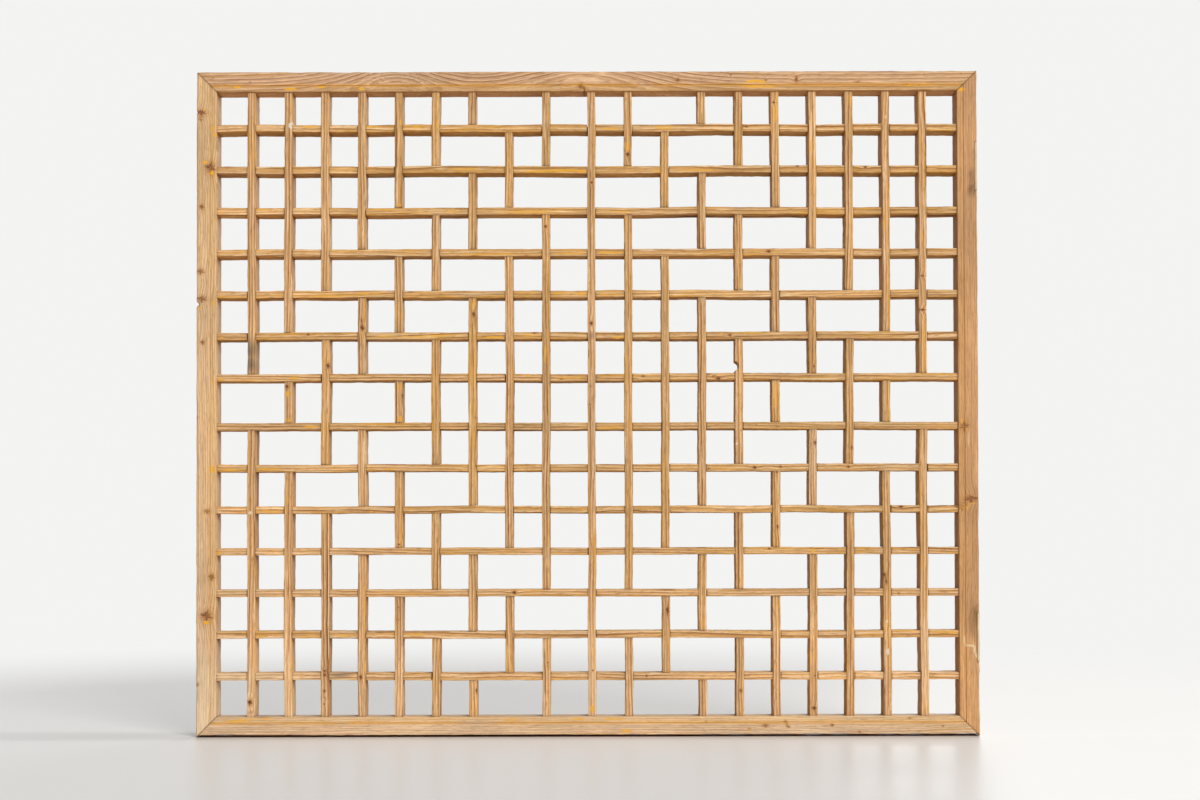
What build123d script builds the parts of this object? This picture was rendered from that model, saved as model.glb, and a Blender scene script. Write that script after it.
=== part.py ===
"""Lattice window panel: a mitred softwood frame filled with half-lapped, stub-tenoned bars.

Lengths are millimetres. The front faces -Y, +Z is up and the origin is the middle of the
bottom edge, half way through the depth.
"""

from build123d import *

import os
from string import ascii_lowercase

# Whole panel
panel_width = 1200.0
panel_height = 1022.0

# Frame: two stiles and two rails of one section
frame_face = 31.0
frame_depth = 35.0
frame_arris = 1.2
line_inset = 9.5
line_width = 2.0
line_depth = 1.2

# Mitred corners: a through tenon on each rail end
corner_shoulder = 7.0
corner_tenon_thick = 11.0

# Lattice bars
upright_face = 12.5
cross_face = 11.5
bar_front_setback = 2.5
bar_back_setback = 0.5

# Lattice grid: counts, gaps from the frame to the nearest bar middles, and the wider cells
columns = 19
rows = 15
side_gap = 53.0
top_gap = 56.0
bottom_gap = 61.0
wide_column_extra = 13.4
wide_row_extra = 11.0

# Stepped pattern: an upright is left out where its steps from the nearest corner are one of these
open_steps = (9, 12)

# Lattice joints
lap_depth_share = 0.5
bar_tenon_thick = 10.0
bar_tenon_length = 6.0
frame_tenon_length = 12.0
joint_clearance = 0.1
mortise_end_gap = 0.3

# Filled hinge seats in the right stile
patch_length = 75.0
patch_thick = 3.5
patch_depth = 26.0
upper_patch_drop = 147.0
lower_patch_rise = 151.0

# Places that follow from the sizes above
front_y = -frame_depth / 2
opening_width = panel_width - 2 * frame_face
opening_height = panel_height - 2 * frame_face
opening_left = -opening_width / 2
opening_bottom = frame_face
opening_top = panel_height - frame_face

bar_depth = frame_depth - bar_front_setback - bar_back_setback
bar_front_y = front_y + bar_front_setback
bar_middle_y = bar_front_y + bar_depth / 2
lap_depth = bar_depth * lap_depth_share
lap_y = bar_front_y + lap_depth

middle_column = (columns + 1) // 2
middle_row = (rows + 1) // 2
column_pitch = (opening_width - 2 * side_gap - wide_column_extra) / (columns - 1)
row_pitch = (opening_height - top_gap - bottom_gap - wide_row_extra) / (rows - 2)

mortise_thick = bar_tenon_thick + 2 * joint_clearance
upright_slot = upright_face + 2 * joint_clearance
cross_slot = cross_face + 2 * joint_clearance
corner_tenon_height = frame_face - 2 * corner_shoulder
corner_mortise_height = corner_tenon_height + 2 * joint_clearance
corner_mortise_thick = corner_tenon_thick + 2 * joint_clearance

back_plane = Plane.XZ.offset(-frame_depth / 2)


def column_x(column):
    """Middle of an upright's face; the cell left of the middle column is wider."""
    extra = wide_column_extra if column >= middle_column else 0
    return opening_left + side_gap + (column - 1) * column_pitch + extra


def cross_z(level):
    """Middle of a cross bar's face, counted from the top; the middle row of cells is wider."""
    extra = wide_row_extra if level >= middle_row else 0
    return opening_top - top_gap - (level - 1) * row_pitch - extra


def has_upright(column, row):
    """Whether an upright stands in this row of cells at this column."""
    if row < 1 or row > rows:
        return False
    if column == middle_column:
        return True
    steps = min(column, columns + 1 - column) + min(row, rows + 1 - row)
    return steps not in open_steps


def columns_in(row):
    """Columns that have an upright in this row of cells."""
    return [column for column in range(1, columns + 1) if has_upright(column, row)]


def upright_runs(column):
    """First and last row of cells of each upright in a column, from the top."""
    filled = [row for row in range(1, rows + 1) if has_upright(column, row)]
    starts = [row for row in filled if not has_upright(column, row - 1)]
    ends = [row for row in filled if not has_upright(column, row + 1)]
    return list(zip(starts, ends))


def save(part, name):
    """Label a finished piece and write it to its own file."""
    part.label = name
    export_step(part, f"parts/{name}.step")


os.makedirs("parts", exist_ok=True)

# Stiles: mitred ends, scribed line, mortises for the cross bars and for the rails' tenons
for side_name, side in (("left", -1), ("right", 1)):
    outer_x = side * panel_width / 2
    inner_x = side * opening_width / 2
    line_x = inner_x + side * line_inset
    with BuildPart() as stile:
        with BuildSketch(back_plane):
            with BuildLine():
                Polyline(
                    (outer_x, 0),
                    (inner_x, opening_bottom),
                    (inner_x, opening_top),
                    (outer_x, panel_height),
                    close=True,
                )
            make_face()
        extrude(amount=frame_depth)
        chamfer(stile.edges().filter_by(Axis.Z).group_by(Axis.Y)[0], frame_arris)
        with BuildSketch(Plane.XY):
            with BuildLine():
                Polyline(
                    (line_x - line_width / 2, front_y),
                    (line_x + line_width / 2, front_y),
                    (line_x, front_y + line_depth),
                    close=True,
                )
            make_face()
        extrude(amount=panel_height, mode=Mode.SUBTRACT)
        with BuildSketch(Plane.YZ.offset(inner_x)):
            with Locations(*[(bar_middle_y, cross_z(level)) for level in range(1, rows)]):
                Rectangle(mortise_thick, cross_slot)
        extrude(amount=side * (frame_tenon_length + mortise_end_gap), mode=Mode.SUBTRACT)
        with BuildSketch(Plane.YZ.offset(inner_x)):
            with Locations((0, frame_face / 2), (0, panel_height - frame_face / 2)):
                Rectangle(corner_mortise_thick, corner_mortise_height)
        extrude(amount=side * frame_face, mode=Mode.SUBTRACT)
        if side_name == "right":
            with BuildSketch(Plane.YZ.offset(outer_x)):
                with Locations((front_y, lower_patch_rise), (front_y, panel_height - upper_patch_drop)):
                    Rectangle(
                        patch_depth + joint_clearance,
                        patch_length + 2 * joint_clearance,
                        align=(Align.MIN, Align.CENTER),
                    )
            extrude(amount=-patch_thick, mode=Mode.SUBTRACT)
    save(stile.part, f"stile_{side_name}")

# Rails: mitred ends, through tenons, scribed line, mortises for the uprights
for end_name, outer_z, inner_z, edge_row in (
    ("bottom", 0, opening_bottom, rows),
    ("top", panel_height, opening_top, 1),
):
    outward = 1 if outer_z > inner_z else -1
    line_z = inner_z + outward * line_inset
    with BuildPart() as rail:
        with BuildSketch(back_plane):
            with BuildLine():
                Polyline(
                    (-panel_width / 2, outer_z),
                    (panel_width / 2, outer_z),
                    (opening_width / 2, inner_z),
                    (-opening_width / 2, inner_z),
                    close=True,
                )
            make_face()
        extrude(amount=frame_depth)
        chamfer(rail.edges().filter_by(Axis.X).group_by(Axis.Y)[0], frame_arris)
        with BuildSketch(Plane.YZ.offset(-panel_width / 2)):
            with BuildLine():
                Polyline(
                    (front_y, line_z - line_width / 2),
                    (front_y, line_z + line_width / 2),
                    (front_y + line_depth, line_z),
                    close=True,
                )
            make_face()
        extrude(amount=panel_width, mode=Mode.SUBTRACT)
        with BuildSketch(Plane.YZ.offset(-panel_width / 2)):
            with Locations((0, (outer_z + inner_z) / 2)):
                Rectangle(corner_tenon_thick, corner_tenon_height)
        extrude(amount=panel_width)
        with BuildSketch(Plane.XY.offset(inner_z)):
            with Locations(*[(column_x(column), bar_middle_y) for column in columns_in(edge_row)]):
                Rectangle(upright_slot, mortise_thick)
        extrude(amount=outward * (frame_tenon_length + mortise_end_gap), mode=Mode.SUBTRACT)
    save(rail.part, f"rail_{end_name}")

# Cross bars: stile to stile, halved at the front under each upright, mortised where an upright stops
for level in range(1, rows):
    crossing = [column for column in columns_in(level) if has_upright(column, level + 1)]
    stops_above = [column for column in columns_in(level) if not has_upright(column, level + 1)]
    stops_below = [column for column in columns_in(level + 1) if not has_upright(column, level)]
    with BuildPart() as cross_bar:
        with BuildSketch(Plane.XY.offset(cross_z(level))):
            with Locations((0, bar_middle_y)):
                Rectangle(opening_width, bar_depth)
                Rectangle(opening_width + 2 * frame_tenon_length, bar_tenon_thick)
            with Locations(*[(column_x(column), bar_front_y) for column in crossing]):
                Rectangle(upright_slot, lap_depth, align=(Align.CENTER, Align.MIN), mode=Mode.SUBTRACT)
        extrude(amount=cross_face / 2, both=True)
        for stops, face in ((stops_above, 1), (stops_below, -1)):
            if stops:
                with BuildSketch(Plane.XY.offset(cross_z(level) + face * cross_face / 2)):
                    with Locations(*[(column_x(column), bar_middle_y) for column in stops]):
                        Rectangle(upright_slot, mortise_thick)
                extrude(amount=-face * (bar_tenon_length + mortise_end_gap), mode=Mode.SUBTRACT)
    save(cross_bar.part, f"cross_bar_{level:02d}")

# Uprights: the same bar left and right of the middle, halved at the back over each cross bar
for column in range(1, middle_column + 1):
    twin_columns = sorted({column, columns + 1 - column})
    for run_letter, (first_row, last_row) in zip(ascii_lowercase, upright_runs(column)):
        top_z = opening_top
        top_tenon = frame_tenon_length
        if first_row > 1:
            top_z = cross_z(first_row - 1) - cross_face / 2
            top_tenon = bar_tenon_length
        bottom_z = opening_bottom
        bottom_tenon = frame_tenon_length
        if last_row < rows:
            bottom_z = cross_z(last_row) + cross_face / 2
            bottom_tenon = bar_tenon_length
        crossing_z = [cross_z(level) for level in range(first_row, last_row)]
        with BuildPart() as upright:
            with BuildSketch(*[Plane.YZ.offset(column_x(twin)) for twin in twin_columns]):
                with Locations((bar_middle_y, bottom_z)):
                    Rectangle(bar_depth, top_z - bottom_z, align=(Align.CENTER, Align.MIN))
                with Locations((bar_middle_y, bottom_z - bottom_tenon)):
                    Rectangle(
                        bar_tenon_thick,
                        top_z + top_tenon - bottom_z + bottom_tenon,
                        align=(Align.CENTER, Align.MIN),
                    )
                if crossing_z:
                    with Locations(*[(lap_y, z) for z in crossing_z]):
                        Rectangle(
                            bar_depth - lap_depth,
                            cross_slot,
                            align=(Align.MIN, Align.CENTER),
                            mode=Mode.SUBTRACT,
                        )
            extrude(amount=upright_face / 2, both=True)
        if column == middle_column:
            save(upright.part, "upright_middle")
        else:
            save(upright.part, f"upright_pair_{column}{run_letter}")

# Strips of new wood in the old hinge seats
for patch_name, patch_z in (("upper", panel_height - upper_patch_drop), ("lower", lower_patch_rise)):
    with BuildPart() as patch:
        with BuildSketch(Plane.YZ.offset(panel_width / 2)):
            with Locations((front_y, patch_z)):
                Rectangle(patch_depth, patch_length, align=(Align.MIN, Align.CENTER))
        extrude(amount=-patch_thick)
    save(patch.part, f"hinge_patch_{patch_name}")
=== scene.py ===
"""Dresses the lattice window panel: aged bare softwood, hand-planed bars, knots, bites and old paint.

Lengths are metres in the panel's own frame: the front faces -Y, +Z is up and the floor is z = 0.
Along every piece of wood, s runs with the grain, a across the face and d into the depth.
A wave is held as its usual height and length, and an ease as the two values it runs between.
"""

import logging
import math
from dataclasses import dataclass, field
from enum import Enum
from functools import reduce
from typing import Any, Sequence

import bpy
import numpy as np
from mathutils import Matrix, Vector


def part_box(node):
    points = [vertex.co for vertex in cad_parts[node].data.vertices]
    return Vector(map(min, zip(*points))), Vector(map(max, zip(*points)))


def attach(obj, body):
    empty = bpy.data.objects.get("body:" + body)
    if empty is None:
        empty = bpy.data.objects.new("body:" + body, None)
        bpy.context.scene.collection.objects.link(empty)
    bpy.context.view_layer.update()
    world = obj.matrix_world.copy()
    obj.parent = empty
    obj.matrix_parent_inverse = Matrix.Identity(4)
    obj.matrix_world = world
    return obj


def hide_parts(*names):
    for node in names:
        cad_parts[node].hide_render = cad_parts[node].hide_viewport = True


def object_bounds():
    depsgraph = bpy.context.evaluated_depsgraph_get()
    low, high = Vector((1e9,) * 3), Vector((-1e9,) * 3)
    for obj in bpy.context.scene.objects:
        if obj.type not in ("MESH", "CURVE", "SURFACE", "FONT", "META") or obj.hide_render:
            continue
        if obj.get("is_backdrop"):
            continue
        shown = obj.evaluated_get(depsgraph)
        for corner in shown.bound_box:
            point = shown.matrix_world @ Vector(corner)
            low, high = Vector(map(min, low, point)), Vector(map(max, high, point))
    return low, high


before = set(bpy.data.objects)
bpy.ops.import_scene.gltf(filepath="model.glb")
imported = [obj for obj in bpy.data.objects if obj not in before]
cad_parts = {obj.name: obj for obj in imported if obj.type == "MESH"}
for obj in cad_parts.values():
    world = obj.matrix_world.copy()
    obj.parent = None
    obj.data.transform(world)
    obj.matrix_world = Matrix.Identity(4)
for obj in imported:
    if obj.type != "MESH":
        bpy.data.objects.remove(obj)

Array = np.ndarray
Bars = dict[str, list["Bar"]]
Colour = tuple[float, float, float]
Faces = list[list[int]]
Pair = tuple[float, float]
Place = tuple[float, float, float]
Rng = np.random.Generator
Section = list[tuple[Array, Array]]
Shares = tuple[float, ...]
Socket = bpy.types.NodeSocket

LOG = logging.getLogger("lattice_panel")

MM = 0.001
X, Y, Z = range(3)
LOW, HIGH = range(2)
WELD = 1e-7
SHARP_ANGLE = math.radians(38)
WAVE_PARTS = 6
WAVE_SPREAD = (0.35, 2.2)
BITE_MARGIN = 0.55
FAR = 9.0


class Run(Enum):
    """Which way wood runs, by the panel axes along it and across its face."""

    UPRIGHT = (Z, X)
    CROSS = (X, Z)


class Side(Enum):
    """Place of a frame member, and of the damaged edge of a bar."""

    LEFT = "left"
    RIGHT = "right"
    TOP = "top"
    BOTTOM = "bottom"


class Span(Enum):
    """How a stretch of a bar is cut."""

    WHOLE = "whole"
    LAP = "lap"
    TENON = "tenon"


class Quarter(Enum):
    """A rounded edge of a section, by the angles that it turns between; left is the low side across."""

    LEFT_FRONT = (180.0, 270.0)
    RIGHT_FRONT = (270.0, 360.0)
    RIGHT_BACK = (0.0, 90.0)
    LEFT_BACK = (90.0, 180.0)


class BiteForm(Enum):
    """Outline of a broken-out edge, by the two powers that shape it."""

    BOWL = (2.0, 0.55)
    POINT = (1.0, 0.85)


class MarkKind(Enum):
    """What a mark on the wood is."""

    KNOT = "knot"
    YELLOW = "yellow"
    PALE = "pale"
    WHITE = "white"
    DARK = "dark"
    GREY = "grey"
    HOLLOW = "hollow"


KNOT, YELLOW, PALE, WHITE, DARK, GREY, HOLLOW = MarkKind


@dataclass(frozen=True)
class Mark:
    """A spot on the front, by its pixel in the photograph and half its size in millimetres.

    The strength of a hollow, a shallow torn or worn place, is its depth in millimetres.
    """

    kind: MarkKind
    px: float
    py: float
    half_x: float
    half_z: float
    strength: float = 1.0


@dataclass(frozen=True)
class Bite:
    """A broken-out edge, by its pixel in the photograph and its size in millimetres."""

    px: float
    py: float
    length: float
    depth: float
    edge: Side


@dataclass(frozen=True)
class Eye:
    """The middle of a cathedral figure, by its pixel column and its size in millimetres."""

    px: float
    reach: float
    swell: float


@dataclass(frozen=True)
class PhotoMap:
    """Where the panel's front stands in the 1200 x 800 photograph."""

    panel_width: float
    panel_height: float
    left_px: float = 197.6
    right_px: float = 977.6
    top_px: float = 71.0
    foot_px: float = 737.0

    def x(self, px: float) -> float:
        """Panel x of a pixel column."""
        return self.panel_width * ((px - self.left_px) / (self.right_px - self.left_px) - 0.5)

    def z(self, py: float) -> float:
        """Panel z of a pixel row."""
        return self.panel_height * (self.foot_px - py) / (self.foot_px - self.top_px)


def marks_of(kind: MarkKind, *spots: tuple[float, ...]) -> list[Mark]:
    """Marks of one kind, each told by its pixel, half its size and its strength."""
    return [Mark(kind, *spot) for spot in spots]


MARKS = (
    # Left stile
    *marks_of(
        KNOT,
        (202.5, 111.8, 6.5, 4.2), (202, 119, 3.6, 1.8, 0.5), (212, 167.5, 7.5, 9, 0.9),
        (203, 206.5, 3.2, 3.8, 0.9), (201.8, 271.5, 5.5, 4.2, 0.7), (203, 299, 7, 5, 0.75),
        (204, 342.5, 3, 3.4, 0.9), (198.4, 417.5, 1.8, 3, 0.5), (209, 511.5, 4.8, 3.6, 0.65),
        (213.5, 577, 4.6, 5.2, 0.9), (208.5, 616, 8.5, 9, 0.85), (199, 684, 2.6, 3, 0.7),
    ),
    *marks_of(
        YELLOW,
        (205.2, 109, 2.4, 1.8, 0.6), (206.2, 161.8, 3.6, 2.4, 1.3), (212.8, 172.4, 2.8, 3.4, 1.4),
        (214, 127.6, 2.4, 3, 1.4), (216.4, 134.4, 2.2, 3, 1.3), (214.8, 303, 1.6, 5.2, 1.3),
        (201.4, 307.6, 3.4, 1.6, 0.7), (215, 382, 1.6, 3, 0.9), (213.4, 469.4, 3.8, 6, 1.7),
        (208, 622.4, 3.6, 2.8, 1.4),
    ),
    Mark(HOLLOW, 203.5, 300, 9, 6, 0.7),
    # Top rail
    *marks_of(KNOT, (581.5, 85.6, 4.6, 3.2), (585.4, 89.6, 1.7, 4)),
    *marks_of(DARK, (581.2, 86.8, 4.4, 3, 1.0), (585, 90.4, 1.8, 3.6, 0.9)),
    *marks_of(
        KNOT,
        (678.5, 80.2, 4, 2.6, 0.9), (731.7, 75, 1.2, 2.4, 0.8), (766.8, 80.6, 1.3, 2.2, 0.9),
        (797.2, 79.8, 2.4, 4.6, 1.0), (858, 82.5, 5, 1.4, 0.6), (907, 85.4, 5.5, 1.6, 0.7),
    ),
    *marks_of(
        YELLOW,
        (238.5, 86.4, 5.5, 1.8), (292, 88.4, 10, 2), (322.6, 86.6, 5, 1.8), (362.8, 88.2, 4.5, 2.4),
        (757.5, 81.6, 15.5, 2.6, 1.1), (760, 86.8, 28, 1.9, 0.9), (752, 72.6, 5, 1.4, 0.5),
        (912, 85.8, 11, 1.3, 0.8), (928, 85.4, 10, 1.2, 0.7),
    ),
    *marks_of(
        KNOT,
        (214, 77, 1.1, 1, 0.8), (251, 81.5, 1.2, 1, 0.9), (925, 74.5, 1.1, 1, 0.8),
        (962, 74, 1.1, 1, 0.8),
    ),
    # Right stile
    Mark(YELLOW, 961.5, 90, 6, 3),
    *marks_of(
        KNOT,
        (963, 428, 6.5, 7.5, 0.75), (969.5, 500.5, 11, 5.5, 0.85), (960.5, 509, 4.6, 5, 0.7),
    ),
    *marks_of(YELLOW, (961, 422.5, 2.2, 4, 0.6), (966, 431, 3, 1.6, 0.5), (971, 505, 5, 1.4, 0.55)),
    *marks_of(
        DARK,
        (972, 178, 7, 15, 0.6), (972.2, 191, 7.5, 13, 1.0), (971.5, 622, 10, 30, 0.55),
        (973.5, 616, 6, 18, 0.8),
    ),
    *marks_of(
        PALE,
        (962.4, 641, 1.6, 7, 0.6), (967.6, 646.8, 6, 1.6, 0.9), (972.4, 651, 1.7, 5.4, 0.9),
        (975.4, 657.4, 2.6, 3.6, 0.9), (967.5, 440, 1.6, 11, 0.45),
    ),
    Mark(YELLOW, 963.5, 509, 6, 2.4, 0.45),
    *marks_of(HOLLOW, (973.5, 634, 6.5, 24, 1.1), (973.5, 188, 4.5, 14, 0.6)),
    # Bottom rail
    *marks_of(
        KNOT,
        (705, 722, 1.8, 1.4, 0.7), (748, 729.5, 2.6, 2, 0.5), (764, 726, 4.6, 3.2, 0.7),
        (784, 722.5, 3, 2.2, 0.9), (787, 727.4, 2.6, 1.6, 0.8), (830.5, 725.7, 3, 1.9, 0.9),
        (857.5, 732.6, 2.6, 1.5, 0.8), (907.5, 719, 3.4, 1.3, 0.7), (940.5, 727, 1.8, 1.4, 0.8),
    ),
    *marks_of(
        YELLOW,
        (248, 719.4, 16, 1.8, 0.7), (268, 718, 9, 1.6, 0.8), (512, 720, 11, 1.4, 0.7),
        (577, 719.2, 11, 1.6, 0.8), (614, 719.2, 15, 1.5, 0.8), (626, 730.8, 9, 2.4, 0.9),
        (748, 730.6, 2.6, 1.8, 0.6),
    ),
    Mark(DARK, 262, 717, 15, 1.1, 0.55),
    Mark(YELLOW, 238, 720.8, 19, 1.3, 0.8),
    Mark(PALE, 824, 731.6, 15, 2, 0.4),
    # Lattice
    *marks_of(GREY, (251.4, 349, 11, 20), (251.4, 364, 10, 17)),
    Mark(PALE, 251, 368, 1.6, 2.2),
    Mark(YELLOW, 249.6, 356, 1.2, 4, 0.6),
    *marks_of(
        KNOT,
        (329, 366, 2.6, 5), (288, 386.8, 2.6, 3.4), (363.4, 328.5, 3.2, 3.6), (362.4, 321, 1.4, 6, 0.6),
        (404, 396, 2.4, 4.4, 0.8), (643.5, 377, 3.4, 1.6, 0.8), (708, 375, 5, 2, 0.6),
        (754.4, 468.6, 3.8, 2.4, 0.9), (780, 468, 2.4, 2.2, 0.7), (847.8, 468, 2.8, 2, 0.9),
        (708.5, 469.6, 2.2, 1.6, 0.7), (814, 367.5, 1.8, 2.6, 0.7), (851.4, 449, 1.8, 4, 0.8),
        (309, 334.4, 2.8, 1.6), (730, 336, 3, 2, 0.9), (718.5, 379.4, 4.4, 2.6, 0.95),
        (815, 444, 2.8, 3.4, 0.9), (251.2, 702.2, 3.6, 4.6), (325.4, 671, 2, 2.4, 0.8),
        (325.4, 691, 2, 2.8, 0.8), (866, 167.8, 2.8, 1.8, 0.9), (798, 166.4, 2.8, 1.8, 0.9),
    ),
    Mark(GREY, 270, 677, 22, 6, 0.3),
    Mark(WHITE, 292.4, 124.6, 4.2, 5.2),
    *marks_of(
        KNOT,
        (900, 508, 4.2, 2.4, 0.9), (667.2, 611.4, 2.4, 7.5, 0.95), (885, 583, 1.8, 6, 0.8),
        (768.5, 549.6, 2.8, 1.8, 0.9), (740, 691.5, 3.2, 4.4, 0.5), (777, 528, 1.8, 4, 0.7),
        (813, 709, 4, 3, 0.9), (897.5, 594.6, 2, 1.4, 0.7),
    ),
    *marks_of(
        YELLOW,
        (401.4, 121.6, 1.4, 5, 0.8), (400, 205, 2.8, 2.6, 0.9), (384, 209.6, 18, 1.2, 0.7),
        (262, 209.2, 10, 1.2, 0.7), (222, 212, 3, 1.6, 0.8),
    ),
    *marks_of(
        WHITE,
        (885.6, 622.7, 1.6, 2.4, 0.8), (886.4, 653, 2, 5, 0.85), (736.6, 444.8, 1.3, 2.2, 0.9),
    ),
    # A painted highlight: a long pale streak where light glances along the bar.
    Mark(PALE, 818, 380.2, 38, 1.1, 0.8),
    *marks_of(
        YELLOW,
        (417, 126.4, 4.6, 2), (665.5, 127.4, 15, 2.8, 0.75), (312, 126.2, 14, 1.5, 0.8),
        (370, 126.2, 18, 1.5, 0.8), (222, 379.4, 4, 1.8), (330, 296.6, 26, 1.5, 0.75),
        (372, 293.4, 20, 1.3, 0.75), (306, 298.6, 12, 1.4, 0.7), (388, 336.4, 18, 1.2, 0.75),
        (417, 337.6, 12, 1.3, 0.75), (400.4, 387, 3.6, 6, 0.6), (402.6, 316, 1.3, 9, 0.65),
        (222, 296, 4, 1.4, 0.7), (222.5, 337.6, 3, 1.6, 0.8), (295, 378.4, 7, 1.6),
        (288.6, 394, 2.6, 4.6, 0.9), (592, 709, 2.2, 5.6), (775.4, 396, 1.6, 20, 0.8),
        (438, 124, 1.4, 8, 0.7), (612, 128.5, 16, 1.5, 0.8), (465, 168.8, 24, 1.4, 0.7),
        (536, 171.6, 18, 1.4, 0.7), (564, 170.4, 24, 1.9, 0.85), (584, 171.8, 6, 2.2, 0.9),
        (452, 211.6, 14, 1.4, 0.6), (530, 212, 44, 1.4, 0.75), (620, 212, 20, 1.4, 0.7),
        (628.5, 146, 3, 8, 0.7),
    ),
    *marks_of(KNOT, (628.6, 154.4, 3.2, 3.8), (592.4, 182.6, 2.3, 2.1, 0.9), (546.2, 226.6, 2.2, 2.7)),
    *marks_of(
        YELLOW,
        (509.2, 163, 1.3, 10, 0.65), (312, 427.2, 12, 1.7, 0.8), (289.5, 420.4, 3.2, 4, 0.9),
        (400.6, 419.4, 3.4, 4.6, 0.8), (270, 469.6, 18, 1.8, 0.8), (390, 469.8, 9, 1.5, 0.7),
        (232, 470, 13, 1.5, 0.6), (371.9, 512.4, 2.2, 1.8), (288.5, 500, 1.6, 8, 0.6),
    ),
    Mark(WHITE, 251.3, 513, 2.8, 2.6, 0.62),
    Mark(YELLOW, 219.8, 553.4, 4, 2.4),
    Mark(DARK, 400, 497.5, 0.9, 12, 0.5),
    *marks_of(
        KNOT,
        (399.6, 545, 1.9, 1.8, 0.8), (514.5, 593, 3.6, 2.6), (477.4, 690.8, 1.7, 4, 0.9),
        (625.2, 684, 1.5, 8, 0.85), (646, 676.5, 2.2, 1.7, 0.8), (548, 663, 1.4, 1.2, 0.8),
        (592.6, 671, 1.4, 1.4, 0.8), (776.7, 473.4, 1.6, 1.8, 0.8), (809.8, 379.8, 1.2, 1.2, 0.8),
    ),
    Mark(YELLOW, 658.5, 171.4, 6, 2.4, 0.8),
    Mark(KNOT, 774.6, 102.4, 2.8, 1.5),
    Mark(YELLOW, 776, 114, 2.6, 14, 0.6),
    Mark(KNOT, 747, 126.6, 3.6, 1.3, 0.9),
    *marks_of(YELLOW, (811.6, 146, 1.8, 11, 0.7), (849, 100, 1.5, 9, 0.55)),
    Mark(PALE, 886.6, 117, 1.5, 3.4, 0.6),
    *marks_of(
        YELLOW,
        (700, 170.5, 28, 1.5, 0.6), (884.6, 226, 1.4, 9, 0.6), (922.4, 237, 1.5, 10, 0.6),
        (261, 636.2, 9, 1.9, 0.9), (345, 636, 13, 1.7, 0.7), (416, 635, 15, 1.7, 0.8),
    ),
    Mark(GREY, 341, 675.2, 20, 4, 0.85),
    Mark(PALE, 341, 679.8, 17, 1.3, 0.7),
    *marks_of(
        KNOT,
        (361.6, 677.3, 2.6, 4.2, 0.9), (325.6, 675, 2.2, 3.2, 0.9), (325.2, 704, 1.4, 1.7, 0.7),
    ),
    Mark(DARK, 251.8, 712.6, 6, 1.6, 0.8),
    *marks_of(
        KNOT,
        (399, 607.6, 1.1, 1.1, 0.7), (399, 620, 1.1, 1.3, 0.6), (955.4, 508.2, 2.4, 1.7, 0.8),
        (883.6, 576.2, 2.1, 4.6, 0.9), (813.8, 676.6, 1.5, 1.5, 0.8),
    ),
    Mark(PALE, 654.5, 674.2, 9, 1.7, 0.7),
    *marks_of(YELLOW, (812.4, 552.4, 3.6, 2.6, 0.9), (701.8, 624, 1.5, 9, 0.6)),
    Mark(KNOT, 474.6, 314.8, 2.8, 5.6, 0.95),
    *marks_of(YELLOW, (473.6, 305, 2.6, 8, 0.5), (441, 336.4, 30, 1.8, 0.8)),
    Mark(DARK, 448, 338, 24, 0.9, 0.6),
    Mark(YELLOW, 495, 338, 15, 2, 0.8),
    Mark(DARK, 491, 340, 15, 1, 0.6),
    Mark(YELLOW, 530, 336, 17, 1.5, 0.6),
    *marks_of(KNOT, (535, 333.8, 2.2, 1.2, 0.8), (591.8, 324, 2.6, 3.8, 0.95)),
    Mark(GREY, 591.4, 336.5, 5.5, 8, 0.6),
    Mark(YELLOW, 619, 338, 10, 2.4, 0.9),
    Mark(PALE, 642, 336.6, 13, 1.5, 0.6),
    *marks_of(
        YELLOW,
        (583, 294.2, 9, 2.3, 0.85), (562, 294, 20, 1.5, 0.7), (528, 294, 16, 1.4, 0.6),
        (610, 295.4, 18, 1.5, 0.65), (612, 253, 20, 1.8, 0.8), (570, 254, 24, 1.5, 0.7),
        (490, 254.4, 48, 1.5, 0.65),
    ),
    Mark(KNOT, 562, 379.4, 2.2, 1.5, 0.8),
    Mark(YELLOW, 572, 378.4, 24, 1.5, 0.6),
    *marks_of(
        KNOT,
        (591, 387, 1.3, 1.5, 0.7), (590.2, 405, 1.3, 1.7, 0.7), (476.5, 418.4, 1.7, 2.1, 0.8),
    ),
    Mark(YELLOW, 545.6, 355, 1.7, 15, 0.6),
    *marks_of(
        KNOT,
        (922.6, 311, 5.5, 1.7, 0.9), (922.6, 277, 3.4, 1.9, 0.7), (769, 252, 4.4, 2.4, 0.9),
        (758, 291.4, 1.9, 1.3, 0.8),
    ),
)

BITES = (
    Bite(197.5, 304.4, 9.0, 4.6, Side.LEFT),
    Bite(197.5, 111.5, 6.0, 1.8, Side.LEFT),
    Bite(734.5, 366.8, 14.0, 5.6, Side.LEFT),
)


def eased(low: float, high: float, value: Array) -> Array:
    """Ease from 0 at low to 1 at high."""
    share = np.clip((value - low) / (high - low), 0.0, 1.0)
    return share * share * (3 - 2 * share)


def hump(offset: Array, width: float) -> Array:
    """A rounded hump: 1 in its middle, fading over its width."""
    return np.exp(-((offset / width) ** 2))


@dataclass(frozen=True)
class Wave:
    """A smooth random wave along a length of wood, left by hand planing and wear."""

    size: float
    lengths: Array
    phases: Array

    @classmethod
    def seeded(cls, rng: Rng, size: float, length: float) -> "Wave":
        """Draw a wave of a usual height and length."""
        lengths = length * rng.uniform(*WAVE_SPREAD, WAVE_PARTS)
        return cls(size, lengths, rng.uniform(0, math.tau, WAVE_PARTS))

    def at(self, s: Array) -> Array:
        """Height of the wave along s."""
        turns = math.tau * s[..., None] / self.lengths + self.phases
        return self.size * np.sin(turns).sum(axis=-1) / math.sqrt(WAVE_PARTS / 2)


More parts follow.
